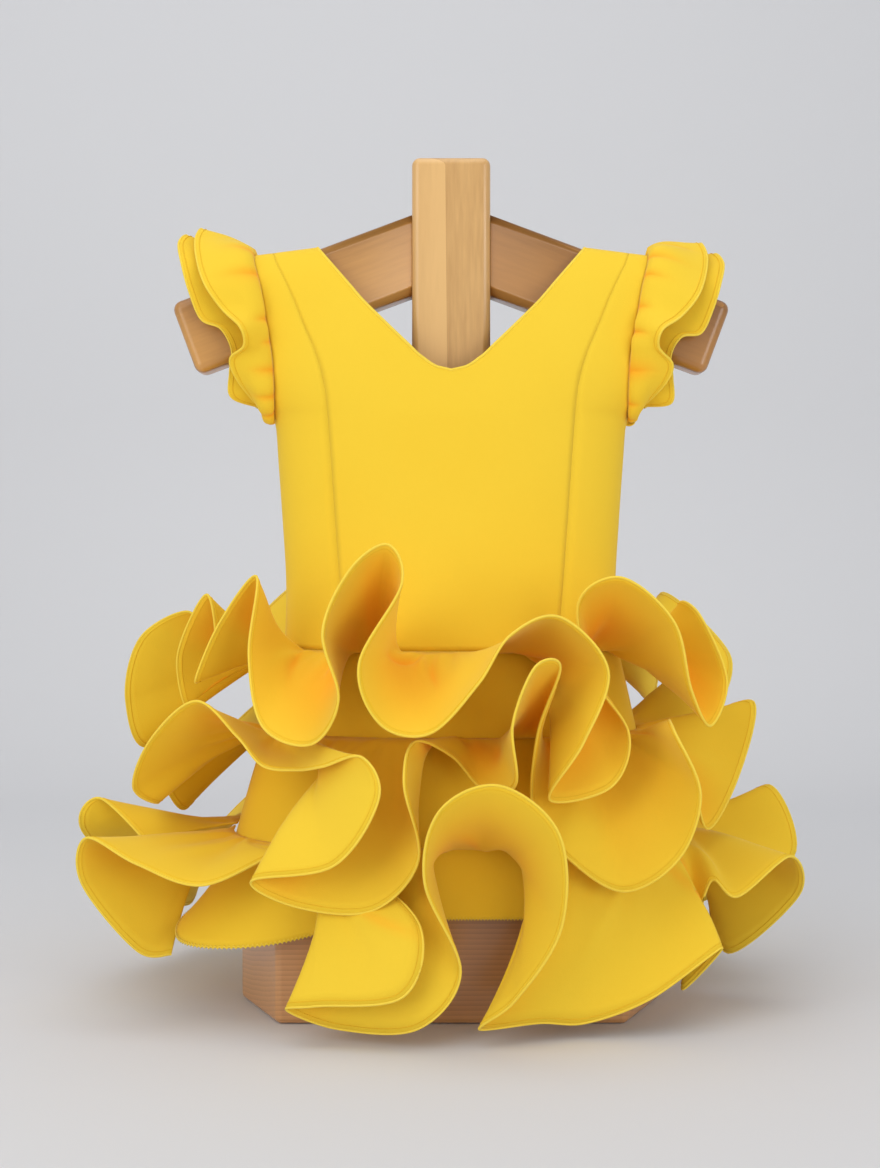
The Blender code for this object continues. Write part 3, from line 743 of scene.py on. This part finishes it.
def painted_fold_shade(thing, grid, closed, extra):
    """Marks the painted shade of the folds: how deep each face of a shell lies in a fold, from 0 to 1, the
    outer face, then the inner one, plus the extra painted shade.
    """
    at = np.arange(grid.shape[1])
    if closed:
        before = np.roll(grid, COLUMNS_A_STATION, axis=1)
        after = np.roll(grid, -COLUMNS_A_STATION, axis=1)
    else:
        before = grid[:, np.maximum(at - COLUMNS_A_STATION, 0)]
        after = grid[:, np.minimum(at + COLUMNS_A_STATION, len(at) - 1)]
    chord = np.maximum(np.linalg.norm(after - before, axis=2) / 2, FOLD_LEAST_CHORD)
    bend = np.sum((before + after - 2 * grid) * grid_normals(grid, closed), axis=2) / chord**2
    for _ in range(FOLD_SOFTENING):
        bend = (np.roll(bend, FOLD_STEP, axis=1) + 2 * bend + np.roll(bend, -FOLD_STEP, axis=1)) / 4
        bend[1:-1] = (bend[:-2] + 2 * bend[1:-1] + bend[2:]) / 4
    soft = 1 - FOLD_HEM_FADE * np.linspace(0, 1, grid.shape[0])[:, None] ** 2
    sides = [np.clip(sign * bend * FOLD_REACH - FOLD_START, 0, 1) * soft + extra for sign in (1, -1)]
    values = np.clip(np.concatenate([side.ravel() for side in sides]), 0, 1)
    layer = thing.data.attributes.new("painted_fold_shade", "FLOAT", "POINT")
    layer.data.foreach_set("value", values)


def tube(name, path, closed, radius, material):
    """A round tube along a path of points."""
    path = np.asarray(path, dtype=float)
    if closed:
        along = np.roll(path, -1, axis=0) - np.roll(path, 1, axis=0)
    else:
        along = np.gradient(path, axis=0)
    along /= np.maximum(np.linalg.norm(along, axis=1, keepdims=True), TINY)
    side = np.cross(along, np.array(TUBE_START))
    side = side - along * np.sum(side * along, axis=1, keepdims=True)
    side /= np.maximum(np.linalg.norm(side, axis=1, keepdims=True), TINY)
    other = np.cross(along, side)
    rings = []
    for k in range(TUBE_SIDES):
        turn = 2 * pi * k / TUBE_SIDES
        rings.append(path + radius * (cos(turn) * side + sin(turn) * other))
    grid = np.stack(rings, axis=1)
    count = len(path)
    faces = []
    for r in range(count if closed else count - 1):
        for c in range(TUBE_SIDES):
            d = (c + 1) % TUBE_SIDES
            here, there = r * TUBE_SIDES, (r + 1) % count * TUBE_SIDES
            faces.append((here + c, here + d, there + d, there + c))
    if not closed:
        faces.append(tuple(range(TUBE_SIDES)))
        faces.append(tuple((count - 1) * TUBE_SIDES + c for c in reversed(range(TUBE_SIDES))))
    return new_object(name, grid.reshape(-1, 3), faces, material)


def material_base(name, roughness):
    material = bpy.data.materials.new(name)
    material.use_nodes = True
    nodes = material.node_tree.nodes
    shader = nodes["Principled BSDF"]
    shader.inputs["Roughness"].default_value = roughness
    where = nodes.new("ShaderNodeTexCoord")
    return material, nodes, material.node_tree.links, shader, where


def add_node(nodes, kind, **values):
    """A shader node with some of its inputs set by name."""
    node = nodes.new("ShaderNode" + kind)
    for name, value in values.items():
        node.inputs[name.replace("_", " ")].default_value = value
    return node


def wire_up(links, *wires):
    for start, end in wires:
        links.new(start, end)


def cloth_material(name, color, deep, grain=0.25, sheen=0.25):
    """Matt crepe with soft patches of colour, an orange painted shade in its folds and a fine grain."""
    material, nodes, links, shader, where = material_base(name, roughness=0.82)
    shader.inputs["Specular IOR Level"].default_value = 0.22
    shader.inputs["Sheen Weight"].default_value = sheen
    shader.inputs["Sheen Roughness"].default_value = 0.45
    shader.inputs["Sheen Tint"].default_value = (*SHEEN_TINT, 1.0)
    patches = add_node(nodes, "TexNoise", Scale=9.0, Detail=3.0)
    mix = add_node(nodes, "Mix")
    mix.data_type = "RGBA"
    mix.inputs[MIX_FIRST].default_value = (*color, 1.0)
    mix.inputs[MIX_SECOND].default_value = (*deep, 1.0)
    shade_depth = add_node(nodes, "Attribute")
    shade_depth.attribute_name = "painted_fold_shade"
    # Mixes in the orange painted shade of the folds, by the shell's fold attribute.
    fold = add_node(nodes, "Mix")
    fold.data_type = "RGBA"
    fold.inputs[MIX_SECOND].default_value = (*PAINTED_FOLD_SHADE, 1.0)
    crepe = add_node(nodes, "TexNoise", Scale=1100.0, Detail=2.0)
    bump = add_node(nodes, "Bump", Strength=grain, Distance=BUMP_DISTANCE)
    wire_up(
        links,
        (where.outputs["Object"], patches.inputs["Vector"]),
        (where.outputs["Object"], crepe.inputs["Vector"]),
        (patches.outputs["Fac"], mix.inputs[MIX_SHARE]),
        (shade_depth.outputs["Fac"], fold.inputs[MIX_SHARE]),
        (mix.outputs[MIX_RESULT], fold.inputs[MIX_FIRST]),
        (fold.outputs[MIX_RESULT], shader.inputs["Base Color"]),
        (crepe.outputs["Fac"], bump.inputs["Height"]),
        (bump.outputs["Normal"], shader.inputs["Normal"]),
    )
    return material


def wood_material(name, wood):
    """Glossy pine with rings stretched along the piece and fine fibre over them."""
    material, nodes, links, shader, where = material_base(name, roughness=0.32)
    shader.inputs["Coat Weight"].default_value = 0.35
    shader.inputs["Coat Roughness"].default_value = 0.18
    place = add_node(nodes, "Mapping", Location=wood.centre, Rotation=(0.0, radians(wood.turn), 0.0))
    place.vector_type = "TEXTURE"
    long_way = (1.0, 1.0, WOOD_STRETCH) if wood.rings == "Z" else (WOOD_STRETCH, 1.0, 1.0)
    stretch = add_node(nodes, "Mapping", Scale=long_way)
    rings = add_node(nodes, "TexWave", Scale=wood.scale, Distortion=2.2, Detail=2.0, Detail_Scale=0.35)
    rings.wave_type = "RINGS"
    rings.rings_direction = wood.rings
    rings.wave_profile = "SAW"
    fibre = add_node(nodes, "TexNoise", Scale=420.0, Detail=3.0)
    colors = add_node(nodes, "ValToRGB")
    ramp = colors.color_ramp
    ramp.elements[0].position = 0.15
    ramp.elements[0].color = (*wood.pale, 1.0)
    ramp.elements[1].position = 0.95
    ramp.elements[1].color = (*wood.dark, 1.0)
    middle = ramp.elements.new(wood.edge)
    blend = [(PALE_WEIGHT * p + d) / (PALE_WEIGHT + 1) for p, d in zip(wood.pale, wood.dark)]
    middle.color = (*blend, 1.0)
    tone = add_node(nodes, "Math")
    tone.operation = "MULTIPLY_ADD"
    tone.inputs[1].default_value = WOOD_RING_TONE
    streak = add_node(nodes, "Math")
    streak.operation = "MULTIPLY_ADD"
    streak.inputs[1].default_value = WOOD_FIBRE_TONE
    streak.inputs[2].default_value = WOOD_TONE_START
    bump = add_node(nodes, "Bump", Strength=0.08, Distance=BUMP_DISTANCE)
    wire_up(
        links,
        (where.outputs["Object"], place.inputs["Vector"]),
        (place.outputs["Vector"], stretch.inputs["Vector"]),
        (stretch.outputs["Vector"], rings.inputs["Vector"]),
        (stretch.outputs["Vector"], fibre.inputs["Vector"]),
        (fibre.outputs["Fac"], streak.inputs[0]),
        (rings.outputs["Fac"], tone.inputs[0]),
        (streak.outputs["Value"], tone.inputs[2]),
        (tone.outputs["Value"], colors.inputs["Fac"]),
        (colors.outputs["Color"], shader.inputs["Base Color"]),
        (fibre.outputs["Fac"], bump.inputs["Height"]),
        (bump.outputs["Normal"], shader.inputs["Normal"]),
    )
    return material


def finish_stand():
    solids = {
        "stand_post": build_post(),
        "stand_arm_left": build_arm(-1),
        "stand_arm_right": build_arm(1),
        "stand_base": build_base(),
    }
    for name, bm in solids.items():
        bmesh.ops.scale(bm, vec=(MM, MM, MM), verts=bm.verts)
        mesh = bpy.data.meshes.new(name + "_wood")
        bm.to_mesh(mesh)
        bm.free()
        mesh.polygons.foreach_set("use_smooth", [True] * len(mesh.polygons))
        mesh.materials.append(wood_material(name + "_wood", WOODS[name]))
        thing = bpy.data.objects.new(name + "_wood", mesh)
        bpy.context.scene.collection.objects.link(thing)
        weight = thing.modifiers.new("even_shading", "WEIGHTED_NORMAL")
        weight.keep_sharp = True
        piece(thing, name, name)


def fine_rows():
    """The bodice's sections at finer steps, smooth between the table's rows."""
    point, above = BODICE[NECK_POINT_ROW], BODICE[NECK_POINT_ROW - 1]
    count = len(BODICE) - 1
    rows = []
    for k in range(count * BODICE_FINE + 1):
        row = BodiceRow(*smooth(BODICE, min(k / BODICE_FINE, count - TINY), False))
        neck = 0.0 if row.up <= point.up + 1e-6 else max(0.0, row.neck)
        if point.up < row.up < above.up:
            neck = above.neck * sqrt((row.up - point.up) / (above.up - point.up))
        edge = row.half_width if k >= UNDERARM_ROW * BODICE_FINE else row.edge
        rows.append(row._replace(neck=neck, edge=min(edge, row.half_width)))
    return rows


def seam_dip(grid, normal, first, last):
    """Sinks a panel's cloth softly beside its seams."""
    for column, wanted in ((0, first), (-1, last)):
        if not wanted:
            continue
        gap = np.linalg.norm(grid - grid[:, [column]], axis=2)
        dip = SEAM_DIP * np.exp(-((gap / SEAM_DIP_WIDTH) ** 2))
        grid = grid - normal * dip[:, :, None]
    return grid


def bodice_crease(x, z):
    """Soft unevenness of the hanging bodice in millimetres."""
    low = np.exp(-(((z - LOW_FOLDS_UP) / LOW_FOLDS_HEIGHT) ** 2))
    lean = (z - LOW_FOLDS_UP) * DRAG_LEAN
    drag = np.exp(-(((x - DRAG_X + lean) / DRAG_WIDTH) ** 2)) * np.exp(-(((z - DRAG_UP) / DRAG_HEIGHT) ** 2))
    waves = 0.5 * np.sin(x / 17 + z / 90) * low + 0.35 * np.sin(x / 31 - z / 48 + 1.0)
    return waves - DRAG_DEPTH * drag


def panel_grid(rows, side, face, start, stop, columns):
    """Points of a panel between its two seam lines, which start and stop give for a row."""
    points = []
    for row in rows:
        line = []
        for c in range(columns + 1):
            line.append(bodice_point(row, side, start(row), stop(row), c / columns, face))
        points.append(line)
    return np.array(points, dtype=float)


def outward(grid, face):
    """Normals of a panel that point away from the body."""
    normal = grid_normals(grid, False)
    turned = np.sum(normal[:, :, 1]) * face
    return normal * (1.0 if turned > 0 else -1.0)


def dress_panel(grid, face, first, last):
    """Adds creases to a panel, and dips beside its first and last seam where they are wanted."""
    normal = outward(grid, face)
    up = grid[:, :, 2]
    crease = bodice_crease(grid[:, :, 0], up)
    weight = np.clip((up - CREASE_FLOOR) / CREASE_FLOOR_FADE, 0.0, 1.0)
    weight = weight * np.clip((CREASE_ROOF - up) / CREASE_ROOF_FADE, 0.0, 1.0)
    grid = grid + normal * (crease * weight)[:, :, None]
    return seam_dip(grid, normal, first, last)


def neck_edge(row):
    return row.neck


def armhole_edge(row):
    return row.edge


def back_edge(row):
    return max(row.neck, SEAM_CLOSED / 2)


def princess_inner(row):
    return row.princess - SEAM_CLOSED / 2


def princess_outer(row):
    return row.princess + SEAM_CLOSED / 2


def finish_bodice(cloth, hem):
    rows = fine_rows()
    panels = []
    for side, word in ((-1, "left"), (1, "right")):
        for place, face in (("side_front", -1), ("side_back", 1)):
            grid = panel_grid(rows, side, face, princess_outer, armhole_edge, SIDE_SHARES)
            grid = dress_panel(grid, face, True, False)
            panels.append(("bodice_%s_%s" % (place, word), grid, (0.066, 0.28), 0.0134))
        grid = panel_grid(rows, side, 1, back_edge, princess_inner, BACK_SHARES)
        grid = dress_panel(grid, 1, True, True)
        panels.append(("bodice_back_" + word, grid, (0.125, 0.28), 0.0209))
    half = panel_grid(rows, 1, -1, neck_edge, princess_inner, BACK_SHARES)
    half = dress_panel(half, -1, False, True)
    mirrored = panel_grid(rows, -1, -1, neck_edge, princess_inner, BACK_SHARES)
    mirrored = dress_panel(mirrored, -1, False, True)
    made = {}
    for name, grid, flat, area in panels:
        thing = shell(name + "_cloth", grid, False, cloth)
        piece(thing, name, name)
        made[name] = grid
    front = centre_front(half, mirrored, cloth)
    piece(front, "bodice_centre_front", "bodice_centre_front")
    neck_rims(rows, half, mirrored, made, hem)


def centre_front(half, mirrored, cloth):
    """Joins the two halves of the centre front along its middle line below the neck."""
    left = shell("left_half", mirrored, False, cloth)
    right = shell("bodice_centre_front_cloth", half, False, cloth)
    bm = bmesh.new()
    bm.from_mesh(right.data)
    bm.from_mesh(left.data)
    bpy.data.objects.remove(left)
    reach = JOIN_REACH * MM
    highest = (BODICE[NECK_POINT_ROW].up + JOIN_ABOVE) * MM
    close = [v for v in bm.verts if abs(v.co.x) < reach and v.co.z < highest]
    bmesh.ops.remove_doubles(bm, verts=close, dist=reach)
    inside = [f for f in bm.faces if all(abs(v.co.x) < INSIDE_REACH * MM for v in f.verts)]
    bmesh.ops.delete(bm, geom=inside, context="FACES")
    bm.to_mesh(right.data)
    bm.free()
    right.data.polygons.foreach_set("use_smooth", [True] * len(right.data.polygons))
    return right


def neck_rims(rows, half, mirrored, made, hem):
    """The turned neck edge, front and back."""
    last = next(k for k, row in enumerate(rows) if row.neck <= 0.0)
    front = np.vstack([mirrored[: last + 1, 0][:-1], half[: last + 1, 0][::-1]])
    back_left = made["bodice_back_left"][: last + 1, 0]
    back_right = made["bodice_back_right"][: last + 1, 0]
    back = np.vstack([back_left[:-1], back_right[::-1]])
    piece(tube("neck_rim_front", front, False, NECK_RADIUS, hem), "bodice_centre_front")
    piece(tube("neck_rim_back", back, False, NECK_RADIUS, hem), "bodice_back_left")


def finish_underskirt(cloth, hem):
    steps = (len(SKIRT) - 1) * SKIRT_SHARES
    grid = np.zeros((steps + 1, SKIRT_TURNS, 3))
    for r in range(steps + 1):
        at = min(r / SKIRT_SHARES, len(SKIRT) - 1 - TINY)
        row = SkirtRow(*smooth(SKIRT, at, False))
        down = max(0.0, (FLARE_START - row.up) / (FLARE_START - SKIRT[-1].up)) ** 2
        for c in range(SKIRT_TURNS):
            turn = 360.0 * c / SKIRT_TURNS
            out, drop = hem_shape(turn)
            point = ring_point(row, turn)
            grow = 1 + out * down
            grid[r, c] = (point.x * grow, point.y * grow, point.z - drop * down)
    turn = np.linspace(0, 2 * pi, SKIRT_TURNS, endpoint=False)
    ripple = (np.sin(turn * 9 + 0.6) + 0.6 * np.sin(turn * 17 + 2.0)) * SKIRT_RIPPLE
    share = np.linspace(0, 1, steps + 1)[:, None] ** 1.5
    normal = grid_normals(grid, True)
    out = np.sign(np.sum(normal[:, :, :2] * grid[:, :, :2]))
    grid = grid + normal * out * (ripple[None, :] * share)[:, :, None]
    thing = shell("underskirt_cloth", grid, True, cloth)
    piece(thing, "underskirt", "underskirt")
    # The overlocked edge: a thin thread that runs to and fro over the hem.
    edge = grid[-1]
    shares = [k / OVERLOCK_STEPS for k in range(OVERLOCK_STEPS)]
    places = [edge * (1 - share) + np.roll(edge, -1, axis=0) * share for share in shares]
    path = np.stack(places, axis=1).reshape(-1, 3)
    path[:, 2] += np.where(np.arange(len(path)) % 2, OVERLOCK_UP, OVERLOCK_DOWN)
    piece(tube("underskirt_hem", path, True, OVERLOCK_RADIUS, hem), "underskirt")


def flounce_grid(ring, stations, closed):
    """The plain flounce from its seam to its hem, with the seat of each column in degrees."""
    curve = hem_curve(stations, closed)
    shares = np.linspace(0, 1, FLOUNCE_SHARES + 1)
    grid = np.zeros((FLOUNCE_SHARES + 1, len(curve), 3))
    for r, share in enumerate(shares):
        for c, (seat, hem, belly) in enumerate(curve):
            root = ring_point(ring, seat, FLOUNCE_STAND_OFF)
            grid[r, c] = flounce_point(root, hem, ring.straight, belly, share)
    return grid, np.array([seat for seat, _, _ in curve])


def gather(grid, seats, closed, seed):
    """Small gathers that start at the seam and fade towards the hem."""
    rng = np.random.default_rng(seed)
    phases = rng.uniform(0, 2 * pi, 3)
    turn = np.radians(seats)
    ripple = np.sin(GATHER_WAVES * turn + phases[0]) + 0.7 * np.sin(GATHER_WAVES * 1.63 * turn + phases[1])
    ripple += 0.5 * np.sin(GATHER_WAVES * 0.47 * turn + phases[2])
    share = np.linspace(0, 1, grid.shape[0])[:, None]
    fade = np.clip(share * GATHER_START, 0, 1) * np.exp(-((share / GATHER_REACH) ** 2))
    normal = grid_normals(grid, closed)
    return grid + normal * (GATHER_DEPTH * ripple[None, :] * fade)[:, :, None]


def press(grid, seats, closed, creases):
    """Adds the listed creases and a soft drift between them, and gives the painted shade of the inward ones.
    """
    share = np.linspace(0, 1, grid.shape[0])[:, None]
    rise = np.zeros(grid.shape[:2])
    valley_shade = np.zeros(grid.shape[:2])
    for crease in creases:
        across = (seats[None, :] - crease.seat - crease.lean * (share - crease.share)) / crease.width
        down = (share - crease.share) / crease.length
        mark = np.exp(-(across**2)) * np.exp(-(down**2))
        rise += crease.height * mark
        # An inward crease paints shade into its valley.
        shade_depth = max(0.0, -crease.height) * CREASE_SHADE
        valley_shade += shade_depth * np.exp(-((across * 1.8) ** 2)) * np.exp(-(down**2))
    turn = np.radians(seats)[None, :]
    drift = np.sin(9 * turn + 4 * share) + 0.8 * np.sin(14 * turn - 5 * share + 2.0)
    rise += DRIFT * drift * np.sin(pi * share)
    return grid + grid_normals(grid, closed) * rise[:, :, None], valley_shade


def hem_and_stitches(name, grid, closed, hem, thread):
    """The rolled hem and its line of stitching on both faces of the cloth."""
    rim = tube(name + "_hem", grid[-1], closed, HEM_RADIUS, hem)
    piece(rim, name)
    normal = grid_normals(grid, closed)
    edge = grid[-1]
    inward = grid[-2] - grid[-1]
    inward = inward / np.linalg.norm(inward, axis=1, keepdims=True)
    pieces = [rim]
    for word, sign in (("out", 1), ("in", -1)):
        path = edge + inward * STITCH_INSET + normal[-1] * (sign * (SHEET / 2 + STITCH_STAND_OFF))
        line = tube(name + "_stitch_" + word, path, closed, STITCH_RADIUS, thread)
        piece(line, name)
        pieces.append(line)
    return pieces


def finish_flounce(name, ring, stations, closed, creases, seed, flat, area, cloth, hem, thread):
    plain, seats = flounce_grid(ring, stations, closed)
    grid, valley_shade = press(plain, seats, closed, creases)
    grid = gather(grid, seats, closed, seed)
    pieces = hem_and_stitches(name, grid, closed, hem, thread)
    thing = shell(name + "_cloth", grid, closed, cloth)
    # Painted shade beside the seam, added to the painted shade of the crease valleys.
    seam_shade_mask = np.exp(-((np.linspace(0, 1, grid.shape[0])[:, None] / SEAM_SHADE_REACH) ** 2))
    painted_fold_shade(thing, plain, closed, SEAM_SHADE * seam_shade_mask + valley_shade)
    piece(thing, name, name)


def armhole_loop(rows):
    """Places along the left armhole from the front underarm over the shoulder to the back underarm."""
    grid = panel_grid(rows, -1, -1, princess_outer, armhole_edge, SIDE_SHARES)
    normals = outward(grid, -1)
    last = UNDERARM_ROW * BODICE_FINE
    front = []
    for r in range(last, -1, -1):
        normal = Vector(normals[r, -1])
        before = Vector(grid[min(r + 1, last), -1])
        after = Vector(grid[max(r - 1, 0), -1])
        if r == last:
            normal = Vector((-1.0, 0.0, 0.0))
        if r == 0:
            normal = Vector((0.0, 0.0, 1.0))
        at = Vector(grid[r, -1])
        inside = Vector(grid[min(r + 1, len(rows) - 1), -1]) if r == last else Vector(grid[r, -2])
        away = (after - before).cross(normal).normalized()
        if away.dot(at - inside) < 0:
            away.negate()
        front.append((at, normal, away))
    flip = Vector((1.0, -1.0, 1.0))
    back = [tuple(v * flip for v in place) for place in reversed(front)]
    return front + back[1:]


def place_along(loop, share):
    """The place at a share of the armhole's length."""
    steps = [(b[0] - a[0]).length for a, b in zip(loop, loop[1:])]
    left = share * sum(steps)
    for a, b, step in zip(loop, loop[1:], steps):
        if left <= step:
            return [p.lerp(q, left / step) for p, q in zip(a, b)]
        left -= step
    return list(loop[-1])


def sleeve_gather(seat, share, side, ply):
    """The round ridges of the gathers beside the armhole with sharp valleys between them, and the painted
    shade of those valleys, both uneven.
    """
    warp = seat * 24 + 0.9 * sin(seat * 7 + side) + 0.5 * sin(seat * 17 + 2 * ply)
    turn = abs(sin(warp))
    fade = exp(-((share / (0.36 + 0.16 * sin(seat * 11 + 2 * side))) ** 2))
    ridge = turn**0.38 * (0.85 + 0.3 * sin(seat * 13 + side + ply)) * min(1.0, share * 12)
    return ridge * fade, (1 - turn) ** 2 * fade


def sleeve_grid(loop, stations, side, ply):
    """A sleeve flounce on one side, ply being 1 for the upper layer and -1 for the lower one."""
    curve = hem_curve(stations, False)
    grid = np.zeros((SLEEVE_SHARES + 1, len(curve), 3))
    for r in range(SLEEVE_SHARES + 1):
        share = r / SLEEVE_SHARES
        for c, (seat, hem, _) in enumerate(curve):
            edge, out, away = place_along(loop, (seat + 1) / 2)
            root = edge + out * (ply * SLEEVE_PLY_GAP / 2) + away * SLEEVE_SEAM_GAP
            swell = out * (sin(pi * share) * SLEEVE_SWELL * (1 + ply) / 2)
            swell += out * (SLEEVE_PUFF * (1 + ply) / 2 * share * (1 - share) ** 3 * 9)
            point = root.lerp(hem, share) + swell
            if side > 0:
                reach = max(0.0, -point.x / SLEEVE_DROOP_START - 1)
                point = Vector((-point.x, point.y, point.z - RIGHT_SLEEVE_DROOP * reach))
            grid[r, c] = point
    rise = np.zeros(grid.shape[:2])
    valley_shade = np.zeros(grid.shape[:2])
    for r in range(SLEEVE_SHARES + 1):
        for c, (seat, _, _) in enumerate(curve):
            rise[r, c], valley_shade[r, c] = sleeve_gather(seat, r / SLEEVE_SHARES, side, ply)
    rise *= SLEEVE_GATHER if ply > 0 else -SLEEVE_UNDER_GATHER
    normal = grid_normals(grid, False)
    facing = np.sign(np.sum(normal * (grid - grid[0].mean(axis=0))))
    return grid + normal * facing * rise[:, :, None], valley_shade


def finish_sleeves(cloth, shade, hem, thread):
    loop = armhole_loop(fine_rows())
    layers = [
        ("upper", UPPER_SLEEVE, 1, cloth, (0.35, 0.035), 0.0108),
        ("lower", LOWER_SLEEVE, -1, shade, (0.31, 0.038), 0.0105),
    ]
    for side, word in ((-1, "left"), (1, "right")):
        for layer, stations, ply, material, flat, area in layers:
            name = "sleeve_flounce_%s_%s" % (layer, word)
            grid, valley_shade = sleeve_grid(loop, stations, side, ply)
            pieces = hem_and_stitches(name, grid, False, hem, thread)
            thing = shell(name + "_cloth", grid, False, material, SLEEVE_SHEET)
            # Paints shade into the sleeve's folds and gather valleys.
            painted_fold_shade(thing, grid, False, valley_shade)
            piece(thing, name, name)


def finish_sweep():
    """A pale sweep of paper under and behind the part."""
    profile = [(SWEEP_NEAR, SWEEP_FLOOR), (SWEEP_FAR, SWEEP_FLOOR)]
    for k in range(1, SWEEP_ROUND_STEPS + 1):
        turn = pi / 2 * k / SWEEP_ROUND_STEPS
        profile.append((SWEEP_FAR + SWEEP_ROUND * sin(turn), SWEEP_FLOOR + SWEEP_ROUND * (1 - cos(turn))))
    profile.append((SWEEP_FAR + SWEEP_ROUND, SWEEP_TOP))
    grid = np.array([[(x, y, z) for x in (-SWEEP_HALF_WIDTH, SWEEP_HALF_WIDTH)] for y, z in profile])
    material, _, _, shader, _ = material_base("paper", roughness=0.9)
    shader.inputs["Base Color"].default_value = (*BACKDROP, 1.0)
    shader.inputs["Specular IOR Level"].default_value = 0.1
    rows, columns = grid.shape[:2]
    sweep = new_object("paper_sweep", grid.reshape(-1, 3), grid_faces(rows, columns, False, True), material)


def finish_lights():
    """Soft light, most of it from the upper left."""
    for light in LIGHTS:
        lamp = bpy.data.lights.new(light.name, "AREA")
        lamp.shape = "SQUARE"
        lamp.size = light.size
        lamp.energy = light.power
        lamp.color = light.color
        lamp.spread = radians(light.spread)
        thing = bpy.data.objects.new(light.name, lamp)
        thing.location = light.at
        thing.rotation_euler = (Vector(LIT_PLACE) - Vector(light.at)).to_track_quat("-Z", "Y").to_euler()
        bpy.context.scene.collection.objects.link(thing)
    world = bpy.data.worlds.new("soft_room")
    world.use_nodes = True
    background = world.node_tree.nodes["Background"]
    background.inputs["Color"].default_value = (*ROOM_LIGHT, 1.0)
    background.inputs["Strength"].default_value = ROOM_STRENGTH
    bpy.context.scene.world = world


def finish_camera():
    eye = bpy.data.cameras.new("camera")
    eye.lens = CAMERA_LENS
    eye.sensor_width = CAMERA_SENSOR
    eye.clip_end = CAMERA_SIGHT
    camera = bpy.data.objects.new("camera", eye)
    camera.location = CAMERA_AT
    camera.rotation_euler = (CAMERA_PITCH, 0.0, 0.0)
    bpy.context.scene.collection.objects.link(camera)
    bpy.context.scene.camera = camera
    bpy.context.scene.view_settings.view_transform = "Standard"


def main():
    cloth = cloth_material("crepe", SHELL, SHELL_PATCHES_AND_SHADE)
    # A darker copy of the crepe: painted shade for the underskirt and the lower sleeve layers, which hang
    # under other cloth.
    shade = cloth_material("crepe_shade", SHELL_PATCHES_AND_SHADE, SHELL_PATCHES_AND_SHADE)
    # The hem roll is painted lighter than the crepe, a painted highlight of the light catching the rolled
    # edges.
    hem = cloth_material("hem_roll", HEM_HIGHLIGHT, SHELL, grain=0.5, sheen=0.35)
    thread = cloth_material("stitching", THREAD, SHELL_PATCHES_AND_SHADE, grain=0.1, sheen=0.0)
    finish_stand()
    finish_bodice(cloth, hem)
    finish_underskirt(shade, hem)
    top_ring = TOP_RING._replace(up=239.4, half_width=116.2, half_depth=55.0)
    top = TOP_FRONT + back_stations(TOP_BACK)[:-1]
    middle = MIDDLE_FRONT + back_stations(MIDDLE_BACK)[:-1]
    bottom = BOTTOM_FRONT + back_stations(BOTTOM_BACK) + BOTTOM_END
    flounces = [
        ("flounce_top", top_ring, top, True, TOP_CREASES, 15, (2.76, 0.094), 0.138),
        ("flounce_middle", MIDDLE_RING, middle, True, MIDDLE_CREASES, 12, (2.51, 0.088), 0.1185),
        ("flounce_bottom", BOTTOM_RING, bottom, False, BOTTOM_CREASES, 17, (2.83, 0.096), 0.14),
    ]
    for flounce in flounces:
        finish_flounce(*flounce, cloth, hem, thread)
    finish_sleeves(cloth, shade, hem, thread)
    finish_sweep()
    finish_lights()
    finish_camera()


main()
